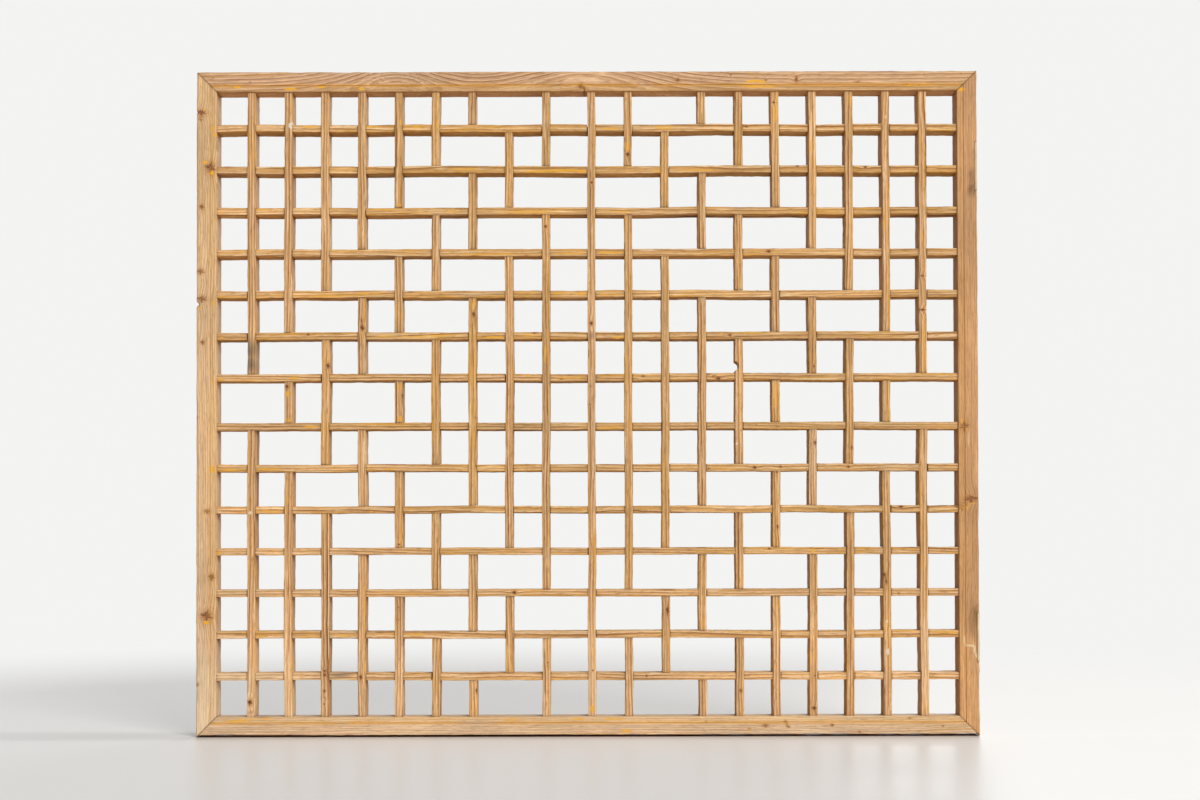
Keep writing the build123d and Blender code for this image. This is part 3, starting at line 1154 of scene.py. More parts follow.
@dataclass
class Timber:
    """One length of wood, told by rings across it, with the marks it carries.

    Its origin is the panel place along, across and in depth of its own zero.
    Turned is -1 where its face is measured down from a high edge.
    """

    seed: int
    photo: PhotoMap
    run: Run = Run.UPRIGHT
    origin: Place = (0.0, 0.0, 0.0)
    turned: int = 1
    front: float = 0.0
    marks: list[PlacedMark] = field(default_factory=list)
    bites: list[PlacedBite] = field(default_factory=list)
    looks_seed: int = 7000
    log_place: Pair = (3.0, 60.0)
    swirl_stretch: float = 1.6
    swirl_push: float = 0.6
    swirl_ease: Pair = (0.1, 3.2)
    stain_ease: Pair = (0.2, 1.3)
    stain_grime: float = 0.85
    grey_shade: float = 0.1

    @property
    def upright(self) -> bool:
        """Whether the wood stands upright."""
        return self.run is Run.UPRIGHT

    def rings(self) -> Array:
        """Rings of points (s, a, d) along the wood."""
        raise NotImplementedError

    def place(self, local: Array) -> Array:
        """Panel places of points.

        Args:
            local: Points (s, a, d).

        Returns:
            Points (x, y, z).
        """
        points = np.empty_like(local)
        points[:, [*self.run.value, Y]] = self.origin + local * (1, self.turned, 1)
        return points

    def local(self, x: float, z: float) -> Pair:
        """Place along and across the wood of a place on the panel's front."""
        along, across = (z, x) if self.upright else (x, z)
        return along - self.origin[0], self.turned * (across - self.origin[1])

    def seated_at(self, s: float, a: float) -> float | None:
        """Where across the wood a mark sits, or None if it lies off the wood."""
        raise NotImplementedError

    def below(self, local: Array) -> Array:
        """How deep each point lies under the front face."""
        return local[:, 2] - self.front

    def breaks(self, bite: Bite, s: float, a: float) -> bool:
        """Whether a bite at a place along and across breaks this wood's edge."""
        raise NotImplementedError

    def grain(self, local: Array, rng: Rng) -> Array:
        """Place in the tree of each point."""
        raise NotImplementedError

    def wear(self, local: Array) -> Array:
        """Edge rub, joint grime (with painted shade on frame members) and painted groove at each point."""
        raise NotImplementedError

    def tone(self, local: Array, rng: Rng) -> Array:
        """Brightness, warmth and weathering at each point, with painted shade and painted light on the sides
        of bars and frame members.
        """
        raise NotImplementedError

    def take_marks(self, marks: list[Mark]) -> None:
        """Keep the marks that lie on this wood and take them off the list.

        Args:
            marks: Marks still to place.
        """
        for mark in list(marks):
            s, a = self.local(self.photo.x(mark.px), self.photo.z(mark.py))
            across = self.seated_at(s, a)
            if across is not None:
                halves = (mark.half_z, mark.half_x) if self.upright else (mark.half_x, mark.half_z)
                sizes = (half * MM for half in halves)
                self.marks.append(PlacedMark(mark.kind, s, across, *sizes, mark.strength))
                marks.remove(mark)

    def take_bites(self, bites: list[Bite]) -> None:
        """Keep the bites that break this wood's edge and take them off the list.

        Args:
            bites: Bites still to place.
        """
        for bite in list(bites):
            s, a = self.local(self.photo.x(bite.px), self.photo.z(bite.py))
            if self.breaks(bite, s, a):
                self.bites.append(PlacedBite(s, bite.length * MM, bite.depth * MM))
                bites.remove(bite)

    def shell(self) -> Shell:
        """Build the wood's skin.

        Returns:
            The skin with its traits.
        """
        local, faces = skin(self.rings())
        points = self.place(local)
        rng = np.random.default_rng(self.seed + self.looks_seed)
        tone = self.tone(local, rng)
        wear = self.wear(local)
        self.stain(local, tone, wear)
        traits = {
            "grain": self.swirled(local, self.grain(local, rng)),
            "knot": self.nearest(local, KNOT_LAYER),
            "mark": self.nearest(local, PAINT_LAYER),
            "tone": tone,
            "wear": wear,
        }
        return Shell(points, outward(points, faces), traits)

    def swirled(self, local: Array, grain: Array) -> Array:
        """Lead the growth lines round the knots.

        Args:
            local: Points (s, a, d).
            grain: Their places in the tree.

        Returns:
            The places, pushed away from the pith near knots.
        """
        push = np.zeros(len(local))
        for mark in self.marks:
            if mark.kind is KNOT:
                reach = np.hypot(*mark.offset(local, self.swirl_stretch))
                near = 1 - eased(*self.swirl_ease, reach)
                push += self.swirl_push * mark.strength * mark.half_a * near
        radius = np.hypot(grain[:, 1], grain[:, 2])
        grain[:, 1:] *= (1 + push / np.maximum(radius, MM))[:, None]
        return grain

    def nearest(self, local: Array, layer: MarkLayer) -> Array:
        """Offset from the nearest mark of a layer, and its strength.

        Args:
            local: Points (s, a, d).
            layer: The marks to look for.

        Returns:
            Offsets along and across in half sizes, and strength: under 0 for a pale chip, under -1 for white.
        """
        found = np.tile((FAR, FAR, 0.0), (len(local), 1))
        best = np.full(len(local), np.inf)
        shown = 1 - eased(layer.front_share * layer.deep, layer.deep, self.below(local))
        for mark in self.marks:
            if mark.kind not in layer.signs:
                continue
            u, v = mark.offset(local)
            reach = np.hypot(u, v)
            full = max(layer.spread, layer.least_spread / min(mark.half_s, mark.half_a))
            end = layer.fade * full
            near = (reach < best) & (reach < end)
            weight = layer.signs[mark.kind] * mark.strength * shown * (1 - eased(full, end, reach))
            found[near] = np.stack([u, v, weight], axis=1)[near]
            best[near] = reach[near]
        return found

    def stain(self, local: Array, tone: Array, wear: Array) -> None:
        """Grey the tone at weathered places and lay grime at stains, in place.

        Args:
            local: Points (s, a, d).
            tone: Their brightness, warmth and weathering.
            wear: Their edge rub, joint grime and painted groove.
        """
        for mark in self.marks:
            reach = np.hypot(*mark.offset(local))
            share = mark.strength * (1 - eased(*self.stain_ease, reach))
            if mark.kind is DARK:
                wear[:, 1] = np.maximum(wear[:, 1], self.stain_grime * share)
            elif mark.kind is GREY:
                tone[:, 0] *= 1 - self.grey_shade * share
                tone[:, 2] = np.maximum(tone[:, 2], share)


@dataclass
class Bar(Timber):
    """A bar of the lattice, half-lapped where others cross it and stub-tenoned at its ends."""

    half: float = 0.0
    low: float = 0.0
    high: float = 0.0
    low_shoulder: float = 0.0
    high_shoulder: float = 0.0
    back: float = 0.0
    laps: list[Pair] = field(default_factory=list)

    # Joints
    tenon_thick: float = 10.0 * MM
    sink: float = 0.7 * MM
    lap_gap: float = 0.08 * MM
    bite_reach: float = 1.6
    mark_reach: float = 1.15

    # Rings along the bar, and points round it
    step: float = 4.0 * MM
    fine_step: float = 0.8 * MM
    seam_rings: Pair = (0.7 * MM, 1.8 * MM)
    front_shares: Shares = (0.25, 0.5, 0.75)
    front_points: int = 4
    back_points: int = 3

    # Planing and knocks
    bow: Pair = (0.36 * MM, 0.32)
    planing: Pair = (0.2 * MM, 0.06)
    arris: float = 1.0 * MM
    arris_spread: Pair = (0.7, 1.35)
    arris_wave: Pair = (0.16 * MM, 0.03)
    least_arris: float = 0.35 * MM
    back_arris: float = 0.7 * MM
    chips: Chips = Chips(0.16, (2.0 * MM, 6.5 * MM), (0.3 * MM, 1.5 * MM), 2.2 * MM)

    # How it was sawn
    sawn_turn: float = 0.45
    pith: Pair = (22.0 * MM, 75.0 * MM)
    grain_slope: float = 0.006
    grain_sway: Pair = (0.8 * MM, 0.35)

    # Wear
    rub_width: float = 1.3 * MM
    rub_depth: float = 2.2 * MM
    shoulder_grime: SeamGrime = SeamGrime(1.0, 1.1 * MM, 0.16, 5.0 * MM)
    lap_grime: SeamGrime = SeamGrime(0.9, 0.7 * MM, 0.12, 4.0 * MM)

    # Tone
    bright_spread: float = 0.032
    bright_wave: Pair = (0.03, 0.35)
    warmth_spread: float = 0.28
    warmth_wave: Pair = (0.15, 0.4)
    foot_ease: Pair = (0.12, 0.30)
    foot_pale: float = 0.13
    left_ease: Pair = (0.06, 0.32)
    left_pale: float = 0.12
    pale_cool: float = 0.6
    # Painted shade and painted light on the sides behind the front: darker, with a painted grey cast of cool
    # side light and a painted shift in warmth.
    side_ease: Pair = (1.5 * MM, 5.0 * MM)
    side_shade: float = 0.06
    painted_side_grey: float = 0.12
    painted_side_warmth: float = -0.2

    @property
    def centre(self) -> float:
        """Place of the bar's middle line across."""
        return self.origin[1]

    @property
    def lap_plane(self) -> float:
        """Depth at which crossing bars meet."""
        return (self.front + self.back) / 2

    def seated_at(self, s: float, a: float) -> float | None:
        """Where across the bar's face a mark sits, or None if it lies off the bar."""
        near = abs(a) <= self.mark_reach * self.half and self.low_shoulder < s < self.high_shoulder
        return float(np.clip(a, -self.half, self.half)) if near else None

    def breaks(self, bite: Bite, s: float, a: float) -> bool:
        """Whether a bite breaks this bar's edge: only uprights have any."""
        inside = self.low_shoulder < s < self.high_shoulder
        return self.upright and inside and abs(a) < self.bite_reach * self.half

    def spans(self) -> list[tuple[Span, float, float]]:
        """Stretches of the bar from its low end to its high end.

        Returns:
            Kind, start and stop of each.
        """
        first = self.low_shoulder - self.sink
        last = self.high_shoulder + self.sink
        found = [(Span.TENON, self.low, first)]
        here = first
        for low, high in sorted(self.laps):
            found.append((Span.WHOLE, here, low - self.lap_gap))
            found.append((Span.LAP, low - self.lap_gap, high + self.lap_gap))
            here = high + self.lap_gap
        found.append((Span.WHOLE, here, last))
        found.append((Span.TENON, last, self.high))
        return found

    def stations(self) -> tuple[Array, list[Span]]:
        """Where the rings stand.

        Returns:
            Places along the bar and the kind of stretch each belongs to.
        """
        places: list[float] = []
        kinds: list[Span] = []
        bitten = [place for bite in self.bites for place in bite.places(self.fine_step)]
        for kind, start, stop in self.spans():
            seams = [start + gap for gap in self.seam_rings] + [stop - gap for gap in self.seam_rings]
            step = stop - start if kind is Span.TENON else self.step
            stretch = refined(start, stop, step, seams + bitten if kind is Span.WHOLE else [])
            places.extend(stretch)
            kinds.extend([kind] * len(stretch))
        return np.array(places), kinds

    def rings(self) -> Array:
        """Cut, plane and knock the bar.

        Returns:
            Rings of points (s, a, d).
        """
        rng = np.random.default_rng(self.seed)
        s, kinds = self.stations()
        bow = Wave.seeded(rng, *self.bow).at(s)
        waves = [np.abs(Wave.seeded(rng, *self.planing).at(s)) for _ in range(4)]
        left = -self.half + bow + waves[0] + bite_depth(self.bites, s, BiteForm.BOWL)
        right = self.half + bow - waves[1]
        front = self.front + waves[2]
        back = self.back - waves[3]
        radii = []
        for _ in range(2):
            radius = self.arris * rng.uniform(*self.arris_spread)
            radii.append(radius + self.chips.along(s, self.low, self.high, rng))
        for number, radius in enumerate(radii):
            waved = radius + Wave.seeded(rng, *self.arris_wave).at(s)
            radii[number] = np.maximum(waved, self.least_arris)
        left_edge, right_edge = radii
        rear = np.full_like(s, self.back_arris)
        plane = self.lap_plane
        section = wall(left, plane, (1.0,))
        section += arc(left, front, left_edge, Quarter.LEFT_FRONT, self.front_points)
        section += flat(left + left_edge, right - right_edge, front, self.front_shares)
        section += arc(right, front, right_edge, Quarter.RIGHT_FRONT, self.front_points)
        section += wall(right, plane, (1.0,))
        section += arc(right, back, rear, Quarter.RIGHT_BACK, self.back_points)
        section.append(((left + right) / 2, back))
        section += arc(left, back, rear, Quarter.LEFT_BACK, self.back_points)
        across, depth = laid_out(section)
        lapped = np.array([[kind is Span.LAP] for kind in kinds])
        tenoned = np.array([[kind is Span.TENON] for kind in kinds])
        cut = np.minimum(depth, plane) if self.upright else np.maximum(depth, plane)
        depth = np.where(lapped, cut, depth)
        thin = np.clip(depth, plane - self.tenon_thick / 2, plane + self.tenon_thick / 2)
        return joined(s[:, None], across, np.where(tenoned, thin, depth))

    def grain(self, local: Array, rng: Rng) -> Array:
        """Place in the tree of each point: how the bar was sawn differs from bar to bar.

        Args:
            local: Points (s, a, d).
            rng: Source of the way it was sawn.

        Returns:
            Places along the log, across it and inward.
        """
        s, a, d = local.T
        turn = rng.normal(0.0, self.sawn_turn)
        pith = rng.uniform(*self.pith)
        slope = rng.normal(0.0, self.grain_slope)
        sway = Wave.seeded(rng, *self.grain_sway).at(s)
        deep = d - self.lap_plane
        across = a * math.cos(turn) + deep * math.sin(turn) + pith + slope * s + sway
        inward = deep * math.cos(turn) - a * math.sin(turn)
        return np.stack([s + rng.uniform(*self.log_place), across, inward], axis=1)

    def wear(self, local: Array) -> Array:
        """Wear of the bar's edges and dirt in its joints.

        Args:
            local: Points (s, a, d).

        Returns:
            Edge rub, joint grime and painted groove at each point.
        """
        s, a, d = local.T
        edge = hump(self.half - np.abs(a), self.rub_width) * hump(d - self.front, self.rub_depth)
        shoulders = [self.low_shoulder - self.sink, self.high_shoulder + self.sink]
        joint = self.shoulder_grime.beside(s, shoulders)
        if self.laps:
            shown = (d > self.lap_plane) if self.upright else 1.0
            lap_ends = [end for lap in self.laps for end in lap]
            joint = np.maximum(joint, shown * self.lap_grime.beside(s, lap_ends))
        return np.stack([edge, joint, np.zeros_like(s)], axis=1)

    def tone(self, local: Array, rng: Rng) -> Array:
        """Tone of the bar, paler at the panel's foot and left, with painted shade and painted light on its
        sides.

        Args:
            local: Points (s, a, d).
            rng: Source of the bar's own tone.

        Returns:
            Brightness, warmth and weathering at each point, with painted side shade, a painted grey cast and
            painted warmth.
        """
        s = local[:, 0]
        bright = rng.normal(1.0, self.bright_spread) + Wave.seeded(rng, *self.bright_wave).at(s)
        warmth = rng.normal(0.0, self.warmth_spread) + Wave.seeded(rng, *self.warmth_wave).at(s)
        x, _, z = self.place(local).T
        foot = 1 - eased(*self.foot_ease, z / self.photo.panel_height)
        left = 1 - eased(*self.left_ease, 0.5 + x / self.photo.panel_width)
        bright = bright * (1 + self.foot_pale * foot + self.left_pale * left)
        warmth = warmth - self.pale_cool * (foot + left)
        # Painted shade and painted light on the sides: darker behind the front, with a painted grey cast and
        # painted warmth.
        behind = eased(*self.side_ease, self.below(local))
        bright = bright * (1 - self.side_shade * behind)
        return np.stack([bright, warmth + self.painted_side_warmth * behind, self.painted_side_grey * behind], axis=1)


def take_box(node: str) -> tuple[Array, Array]:
    """Lowest and highest corner of a solid, as arrays."""
    low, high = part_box(node)
    return np.array(low), np.array(high)


def add_piece(
    name: str, shells: Sequence[Shell], material: bpy.types.Material, node: str
) -> bpy.types.Object:
    """Make one piece that stands for a solid.

    Args:
        name: The piece's name.
        shells: Skins it is made of.
        material: Its finish.
        node: The solid it replaces.

    Returns:
        The piece.
    """
    offset = 0
    faces: Faces = []
    for shell in shells:
        faces.extend([[corner + offset for corner in loop] for loop in shell.faces])
        offset += len(shell.points)
    mesh = bpy.data.meshes.new(name)
    mesh.from_pydata(np.concatenate([shell.points for shell in shells]).tolist(), [], faces)
    for trait in shells[0].traits:
        values = np.concatenate([shell.traits[trait] for shell in shells]).astype(np.float32)
        layer = mesh.attributes.new(trait, "FLOAT_VECTOR", "POINT")
        layer.data.foreach_set("vector", values.ravel())
    mesh.polygons.foreach_set("use_smooth", np.ones(len(mesh.polygons), dtype=bool))
    mesh.set_sharp_from_angle(angle=SHARP_ANGLE)
    mesh.materials.append(material)
    mesh.update()
    piece = bpy.data.objects.new(name, mesh)
    bpy.context.scene.collection.objects.link(piece)
    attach(piece, "root")
    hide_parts(node)
    LOG.info("%s: %d points, %d faces", name, len(mesh.vertices), len(mesh.polygons))
    return piece


@dataclass
class Lattice:
    """The bars inside the frame: uprights pass in front of cross bars, halved into each other."""

    photo: PhotoMap
    cross_seed: int = 1100
    upright_seed: int = 1200
    # Painted light on the cross bars' sides: no grey cast, and strong painted warmth for warm light bounced
    # between the bars.
    cross_painted_side_grey: float = 0.0
    cross_painted_side_warmth: float = 1.2

    def build(self, marks: list[Mark], bites: list[Bite]) -> None:
        """Lay out, mark and dress all bars.

        Args:
            marks: Marks still to place; those on bars are taken.
            bites: Bites still to place; those on bars are taken.
        """
        crosses = self.cross_bars()
        uprights = self.uprights(crosses)
        self.join(crosses, uprights)
        for bars in (uprights, crosses):
            for bar in (bar for group in bars.values() for bar in group):
                bar.take_marks(marks)
                bar.take_bites(bites)
        for bars, finish in ((crosses, CROSS_BAR_WOOD), (uprights, UPRIGHT_WOOD)):
            material = finish.material()
            for node, group in bars.items():
                add_piece(f"{node}_wood", [bar.shell() for bar in group], material, node)

    def cross_bars(self) -> Bars:
        """Cross bars by node, from their solids' boxes.

        Returns:
            A list of one bar for each node.
        """
        left_face = take_box("stile_left")[HIGH][X]
        right_face = take_box("stile_right")[LOW][X]
        found = {}
        for number, node in enumerate(sorted(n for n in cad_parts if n.startswith("cross_bar_"))):
            bar = Bar(
                self.cross_seed + number,
                self.photo,
                run=Run.CROSS,
                painted_side_grey=self.cross_painted_side_grey,
                painted_side_warmth=self.cross_painted_side_warmth,
            )
            self.set_out(bar, *take_box(node))
            bar.low_shoulder, bar.high_shoulder = left_face, right_face
            found[node] = [bar]
        return found

    def uprights(self, crosses: Bars) -> Bars:
        """Uprights by node: the middle one, and the pairs that mirror each other.

        Args:
            crosses: The cross bars, in which uprights may end.

        Returns:
            One or two bars for each node.
        """
        middle_low, middle_high = take_box("upright_middle")
        face = middle_high[X] - middle_low[X]
        found = {}
        for number, node in enumerate(sorted(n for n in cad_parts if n.startswith("upright_"))):
            low, high = take_box(node)
            edges = [low[X]] if node == "upright_middle" else [low[X], high[X] - face]
            group = []
            for twin, edge in enumerate(edges):
                bar = Bar(self.upright_seed + 2 * number + twin, self.photo, run=Run.UPRIGHT)
                low[X], high[X] = edge, edge + face
                self.set_out(bar, low, high)
                bar.low_shoulder = self.seat(bar.low, crosses, "rail_bottom", HIGH)
                bar.high_shoulder = self.seat(bar.high, crosses, "rail_top", LOW)
                group.append(bar)
            found[node] = group
        return found

    @staticmethod
    def set_out(bar: Bar, low: Array, high: Array) -> None:
        """Give a bar its face, depth and ends.

        Args:
            bar: The bar.
            low: Lowest corner of its box.
            high: Highest corner of its box.
        """
        along, across = bar.run.value
        bar.origin = (0.0, (low[across] + high[across]) / 2, 0.0)
        bar.half = (high[across] - low[across]) / 2
        bar.low, bar.high = low[along], high[along]
        bar.front, bar.back = low[Y], high[Y]

    @staticmethod
    def seat(end: float, crosses: Bars, rail: str, corner: int) -> float:
        """Height of the shoulder that an upright's end stands on.

        Args:
            end: Height of the tenon's end.
            crosses: The cross bars.
            rail: The rail at that end of the panel.
            corner: HIGH for the seat's top, LOW for its underside.

        Returns:
            The shoulder's height.
        """
        for bar in (group[0] for group in crosses.values()):
            if abs(end - bar.centre) < bar.half:
                return bar.centre + (bar.half if corner == HIGH else -bar.half)
        return take_box(rail)[corner][Z]

    @staticmethod
    def join(crosses: Bars, uprights: Bars) -> None:
        """Halve every cross bar and upright where they pass each other.

        Args:
            crosses: The cross bars.
            uprights: The uprights.
        """
        for cross in (group[0] for group in crosses.values()):
            low, high = cross.centre - cross.half, cross.centre + cross.half
            for upright in (bar for group in uprights.values() for bar in group):
                if upright.low_shoulder < low and high < upright.high_shoulder:
                    upright.laps.append((low, high))
                    cross.laps.append((upright.centre - upright.half, upright.centre + upright.half))


@dataclass(frozen=True)
class WornFoot:
    """The underside's front edge, worn away and darkened with painted shade, told by shares of the member's
    length.
    """

    lift: float
    level: float = 0.92
    wave: float = 0.08
    half_turns: float = 5.2
    half_turn_start: float = 0.4
    right_ease: Pair = (0.955, 0.985)
    right_more: float = 0.35
    left_ease: Pair = (0.0, 0.012)
    left_less: float = 0.3
    # Painted shade: the strength of the dark contact line under the worn front edge, and where it lies.
    grime: float = 0.95
    shade_depth: Pair = (1.0 * MM, 2.6 * MM)
    shade_rise: Pair = (4.0 * MM, 7.0 * MM)

    def lifted(self, share: Array) -> Array:
        """How far the edge is worn away.

        Args:
            share: Places along, as shares of the length.

        Returns:
            Height of the wear.
        """
        uneven = self.level + self.wave * np.sin(math.pi * (self.half_turns * share + self.half_turn_start))
        right = self.right_more * eased(*self.right_ease, share)
        left = self.left_less * (1 - eased(*self.left_ease, share))
        return self.lift * (uneven + (right - left))

    def dirt(self, a: Array, d: Array) -> Array:
        """Painted shade underneath the worn front edge, by the place across and the depth."""
        return self.grime * eased(*self.shade_depth, d) * (1 - eased(*self.shade_rise, a))


@dataclass(frozen=True)
class MemberLook:
    """What one frame member has of its own; a pair holds the values at its low and high end."""

    bright: Pair = (1.0, 1.0)
    warmth: Pair = (0.0, 0.0)
    paint: Pair = (0.9, 0.9)
    paint_spread: float = 0.6 * MM
    foot_paling: float = 0.0
    # Painted bounce light: how much the member's inner face is brightened.
    inner_painted_light: float = 0.0
    lip_shade: float = 0.0
    eyes: tuple[Eye, ...] = ()
    foot: WornFoot | None = None


MEMBER_LOOKS = {
    Side.LEFT: MemberLook(bright=(1.05, 0.97), warmth=(-0.3, 0.1), paint=(0.8, 0.4), foot_paling=1.7),
    Side.RIGHT: MemberLook(bright=(1.06, 0.93), paint=(0.35, 0.35)),
    Side.TOP: MemberLook(
        bright=(0.98, 0.91),
        warmth=(-0.5, 0.2),
        paint=(1.0, 1.0),
        paint_spread=1.0 * MM,
        inner_painted_light=0.55,
        lip_shade=0.11,
        eyes=(Eye(397.0, 46.0, -12.4), Eye(585.0, 62.0, -6.0)),
    ),
    Side.BOTTOM: MemberLook(
        warmth=(-0.3, 0.1),
        paint=(0.95, 0.95),
        paint_spread=1.0 * MM,
        foot=WornFoot(lift=3.0 * MM),
    ),
}


@dataclass
class FrameMember(Timber):
    """A stile or rail: mitred ends, a scribed line along the front and worn edges."""

    side: Side = Side.LEFT
    length: float = 0.0
    face: float = 0.0
    depth: float = 0.0
    seats: list[Pair] = field(default_factory=list)
    seat_thick: float = 0.0
    seat_depth: float = 0.0

    # Scribed line, mitres and edges
    line_inset: float = 9.5 * MM
    line_width: float = 2.0 * MM
    line_floor: float = 0.25 * MM
    line_depth: float = 1.2 * MM
    mitre_gap: float = 0.6 * MM
    mitre_reach: float = 0.4 * MM
    mitre_share: float = 0.4
    shear_reach: float = 2.5
    outer_arris: float = 1.7 * MM
    inner_arris: float = 1.0 * MM
    back_arris: float = 0.9 * MM
    inset: float = 0.15 * MM
    outer_hold: float = 3.0 * MM
    inner_hold: float = 1.0 * MM
    mitre_hold: float = 2.0 * MM

    # Rings along the member, and points round it
    step: float = 2.5 * MM
    fine_step: float = 0.6 * MM
    wall_share: float = 0.72
    wall_shares: Shares = (0.98, 0.62, 0.3)
    wall_end: float = 1.002
    face_shares: Shares = (0.14, 0.28, 0.42, 0.56, 0.70, 0.85, 1.0)
    lip_shares: Shares = (0.0, 0.33, 0.66)
    inner_shares: Shares = (0.35, 0.65)
    back_shares: Shares = (0.66, 0.33)
    outer_points: int = 5
    inner_points: int = 4
    back_points: int = 3

    # Planing, knocks, bites and hollows
    planing: float = 0.14 * MM
    planing_lengths: Shares = (0.09, 0.07, 0.05, 0.11)
    outer_wear: float = 2.2
    edge_rub: Pair = (0.45 * MM, 0.045)
    inner_rub: Pair = (0.25 * MM, 0.05)
    line_wander: Pair = (0.12 * MM, 0.2)
    chips: Chips = Chips(0.12, (2.5 * MM, 9.0 * MM), (0.3 * MM, 1.6 * MM), 2.4 * MM)
    bite_ease: Pair = (0.30, 0.75)
    rim_reach: float = 8.0 * MM
    lift_ease: Pair = (0.6, 0.95)
    dent_ease: Pair = (0.55, 1.0)
    dent_depth: float = 4.0 * MM

    # How it was sawn
    sawn_turn: float = 0.15
    pith: Pair = (30.0 * MM, 70.0 * MM)
    grain_sway: Pair = (1.1 * MM, 0.5)
    eye_spread: float = 2.2
    eye_pith: float = 0.47
    away_pith: float = 1.1
    heart_depth: float = 13.0 * MM
    swell_ease: Pair = (0.4, 0.95)

    # Wear
    front_depth: float = 3.0 * MM
    rub_width: float = 2.2 * MM
    mitre_grime: SeamGrime = SeamGrime(1.0, 0.55 * MM, 0.12, 4.0 * MM)
    lip_paint: float = 0.12
    paint_end: float = 3.0 * MM
    paint_ease: Pair = (0.3, 0.7)
    line_grime: float = 0.2
    line_grime_width: float = 0.5 * MM
    # Painted shade inside the broken-out bites.
    bite_shade: float = 0.75
    bite_shade_share: float = 0.45
    bite_shade_depth: float = 1.6
    seat_grime: float = 0.95
    seat_margin: float = 2.0 * MM
    seam_reach: float = 0.8 * MM

    # Tone
    bright_wave: Pair = (0.035, 0.4)
    lip_warmth: float = 0.35
    paling_ease: Pair = (0.05, 0.24)
    # Painted shade and painted light on the sides behind the front: darker, with a painted grey cast and a
    # painted shift in warmth.
    side_ease: Pair = (2.5 * MM, 6.0 * MM)
    side_shade: float = 0.06
    painted_side_grey: float = 0.14
    painted_side_warmth: float = -0.5
    inner_ease: Pair = (2.0 * MM, 0.5 * MM)

    @property
    def look(self) -> MemberLook:
        """What this member has of its own."""
        return MEMBER_LOOKS[self.side]

    @property
    def line_place(self) -> float:
        """Place of the scribed line across the face."""
        return self.face - self.line_inset

    def seated_at(self, s: float, a: float) -> float | None:
        """Where across the face a mark sits, or None if it lies off the member or past its mitres.

        Args:
            s: Place along.
            a: Place across.

        Returns:
            The place across.
        """
        on_face = -self.outer_hold < a < self.face + self.inner_hold
        inside = a - self.mitre_hold < s < self.length - a + self.mitre_hold
        return a if on_face and inside else None

    def breaks(self, bite: Bite, s: float, a: float) -> bool:
        """Whether a bite breaks this member's outer edge."""
        return bite.edge is self.side and abs(a) < self.face / 2

    def stations(self) -> tuple[Array, Array]:
        """Where the rings stand, and which of them are cut back for a hinge seat.

        Returns:
            Places along the member and whether each is in a seat.
        """
        bounds = [0.0, *(end for seat in sorted(self.seats) for end in seat), self.length]
        extra = [self.mitre_gap, self.length - self.mitre_gap]
        extra += [place for bite in self.bites for place in bite.places(self.fine_step)]
        places: list[float] = []
        seated: list[bool] = []
        for number, (start, stop) in enumerate(zip(bounds[:-1], bounds[1:])):
            stretch = refined(start, stop, self.step, extra)
            places.extend(stretch)
            seated.extend([number % 2 == 1] * len(stretch))
        return np.array(places), np.array(seated)

    def rings(self) -> Array:
        """Cut, plane, knock and wear the member.

        Returns:
            Rings of points (s, a, d).
        """
        rng = np.random.default_rng(self.seed)
        t, seated = self.stations()
        waves = [np.abs(Wave.seeded(rng, self.planing, length).at(t)) for length in self.planing_lengths]
        outer = self.inset + self.outer_wear * waves[0]
        inner = self.face - waves[1]
        front = self.inset + waves[2]
        back = self.depth - self.inset - waves[3]
        rub = np.abs(Wave.seeded(rng, *self.edge_rub).at(t))
        outer_edge = self.outer_arris + rub + self.chips.along(t, 0.0, self.length, rng)
        inner_edge = self.inner_arris + np.abs(Wave.seeded(rng, *self.inner_rub).at(t))
        rear = np.full_like(t, self.back_arris)
        line = self.line_place + Wave.seeded(rng, *self.line_wander).at(t)
        shelf = self.seat_depth if self.seats else self.wall_share * self.depth
        section = wall(outer, shelf, self.wall_shares)
        section += arc(outer, front, outer_edge, Quarter.LEFT_FRONT, self.outer_points)
        section += flat(outer + outer_edge, line - self.line_width / 2, front, self.face_shares)
        section += [(line + aside, front + self.line_depth) for aside in (-self.line_floor, self.line_floor)]
        section += flat(line + self.line_width / 2, inner - inner_edge, front, self.lip_shares)
        section += arc(inner, front, inner_edge, Quarter.RIGHT_FRONT, self.inner_points)
        section += wall(inner, self.depth, self.inner_shares)
        section += arc(inner, back, rear, Quarter.RIGHT_BACK, self.back_points)
        section += flat(outer, inner, back, self.back_shares)
        section += arc(outer, back, rear, Quarter.LEFT_BACK, self.back_points)
        section += wall(outer, shelf, (self.wall_end,))
        return self.worn(t, seated, outer, section)

    def worn(self, t: Array, seated: Array, outer: Array, section: Section) -> Array:
        """Break and wear a member's section, and cut its mitres and hinge seats.

        Args:
            t: Places of the rings.
            seated: Whether each ring is in a hinge seat.
            outer: Places across of the outer edge.
            section: The whole section.

        Returns:
            Rings of points (s, a, d).
        """
        across, depth = laid_out(section)
        deep = depth / self.depth
        bitten = bite_depth(self.bites, t, BiteForm.POINT)[:, None] * (1 - eased(*self.bite_ease, deep))
        across = np.where(across < bitten, bitten, across)
        if self.look.foot:
            rim = np.clip(1 - (across - outer[:, None]) / self.rim_reach, 0, 1)
            lifted = self.look.foot.lifted(t / self.length)[:, None]
            across = across + lifted * rim * (1 - eased(*self.lift_ease, deep))
        along = self.mitred(t, across)
        depth = depth + self.dents(along, across, depth)
        mitre = np.exp(-np.minimum(t, self.length - t) / self.mitre_reach)[:, None]
        depth = np.where(depth < self.mitre_share * self.depth, depth + mitre * self.mitre_gap, depth)
        if self.seats:
            cut = seated[:, None] & (depth < self.seat_depth)
            across = np.where(cut, np.maximum(across, self.seat_thick), across)
        return joined(along, across, depth)

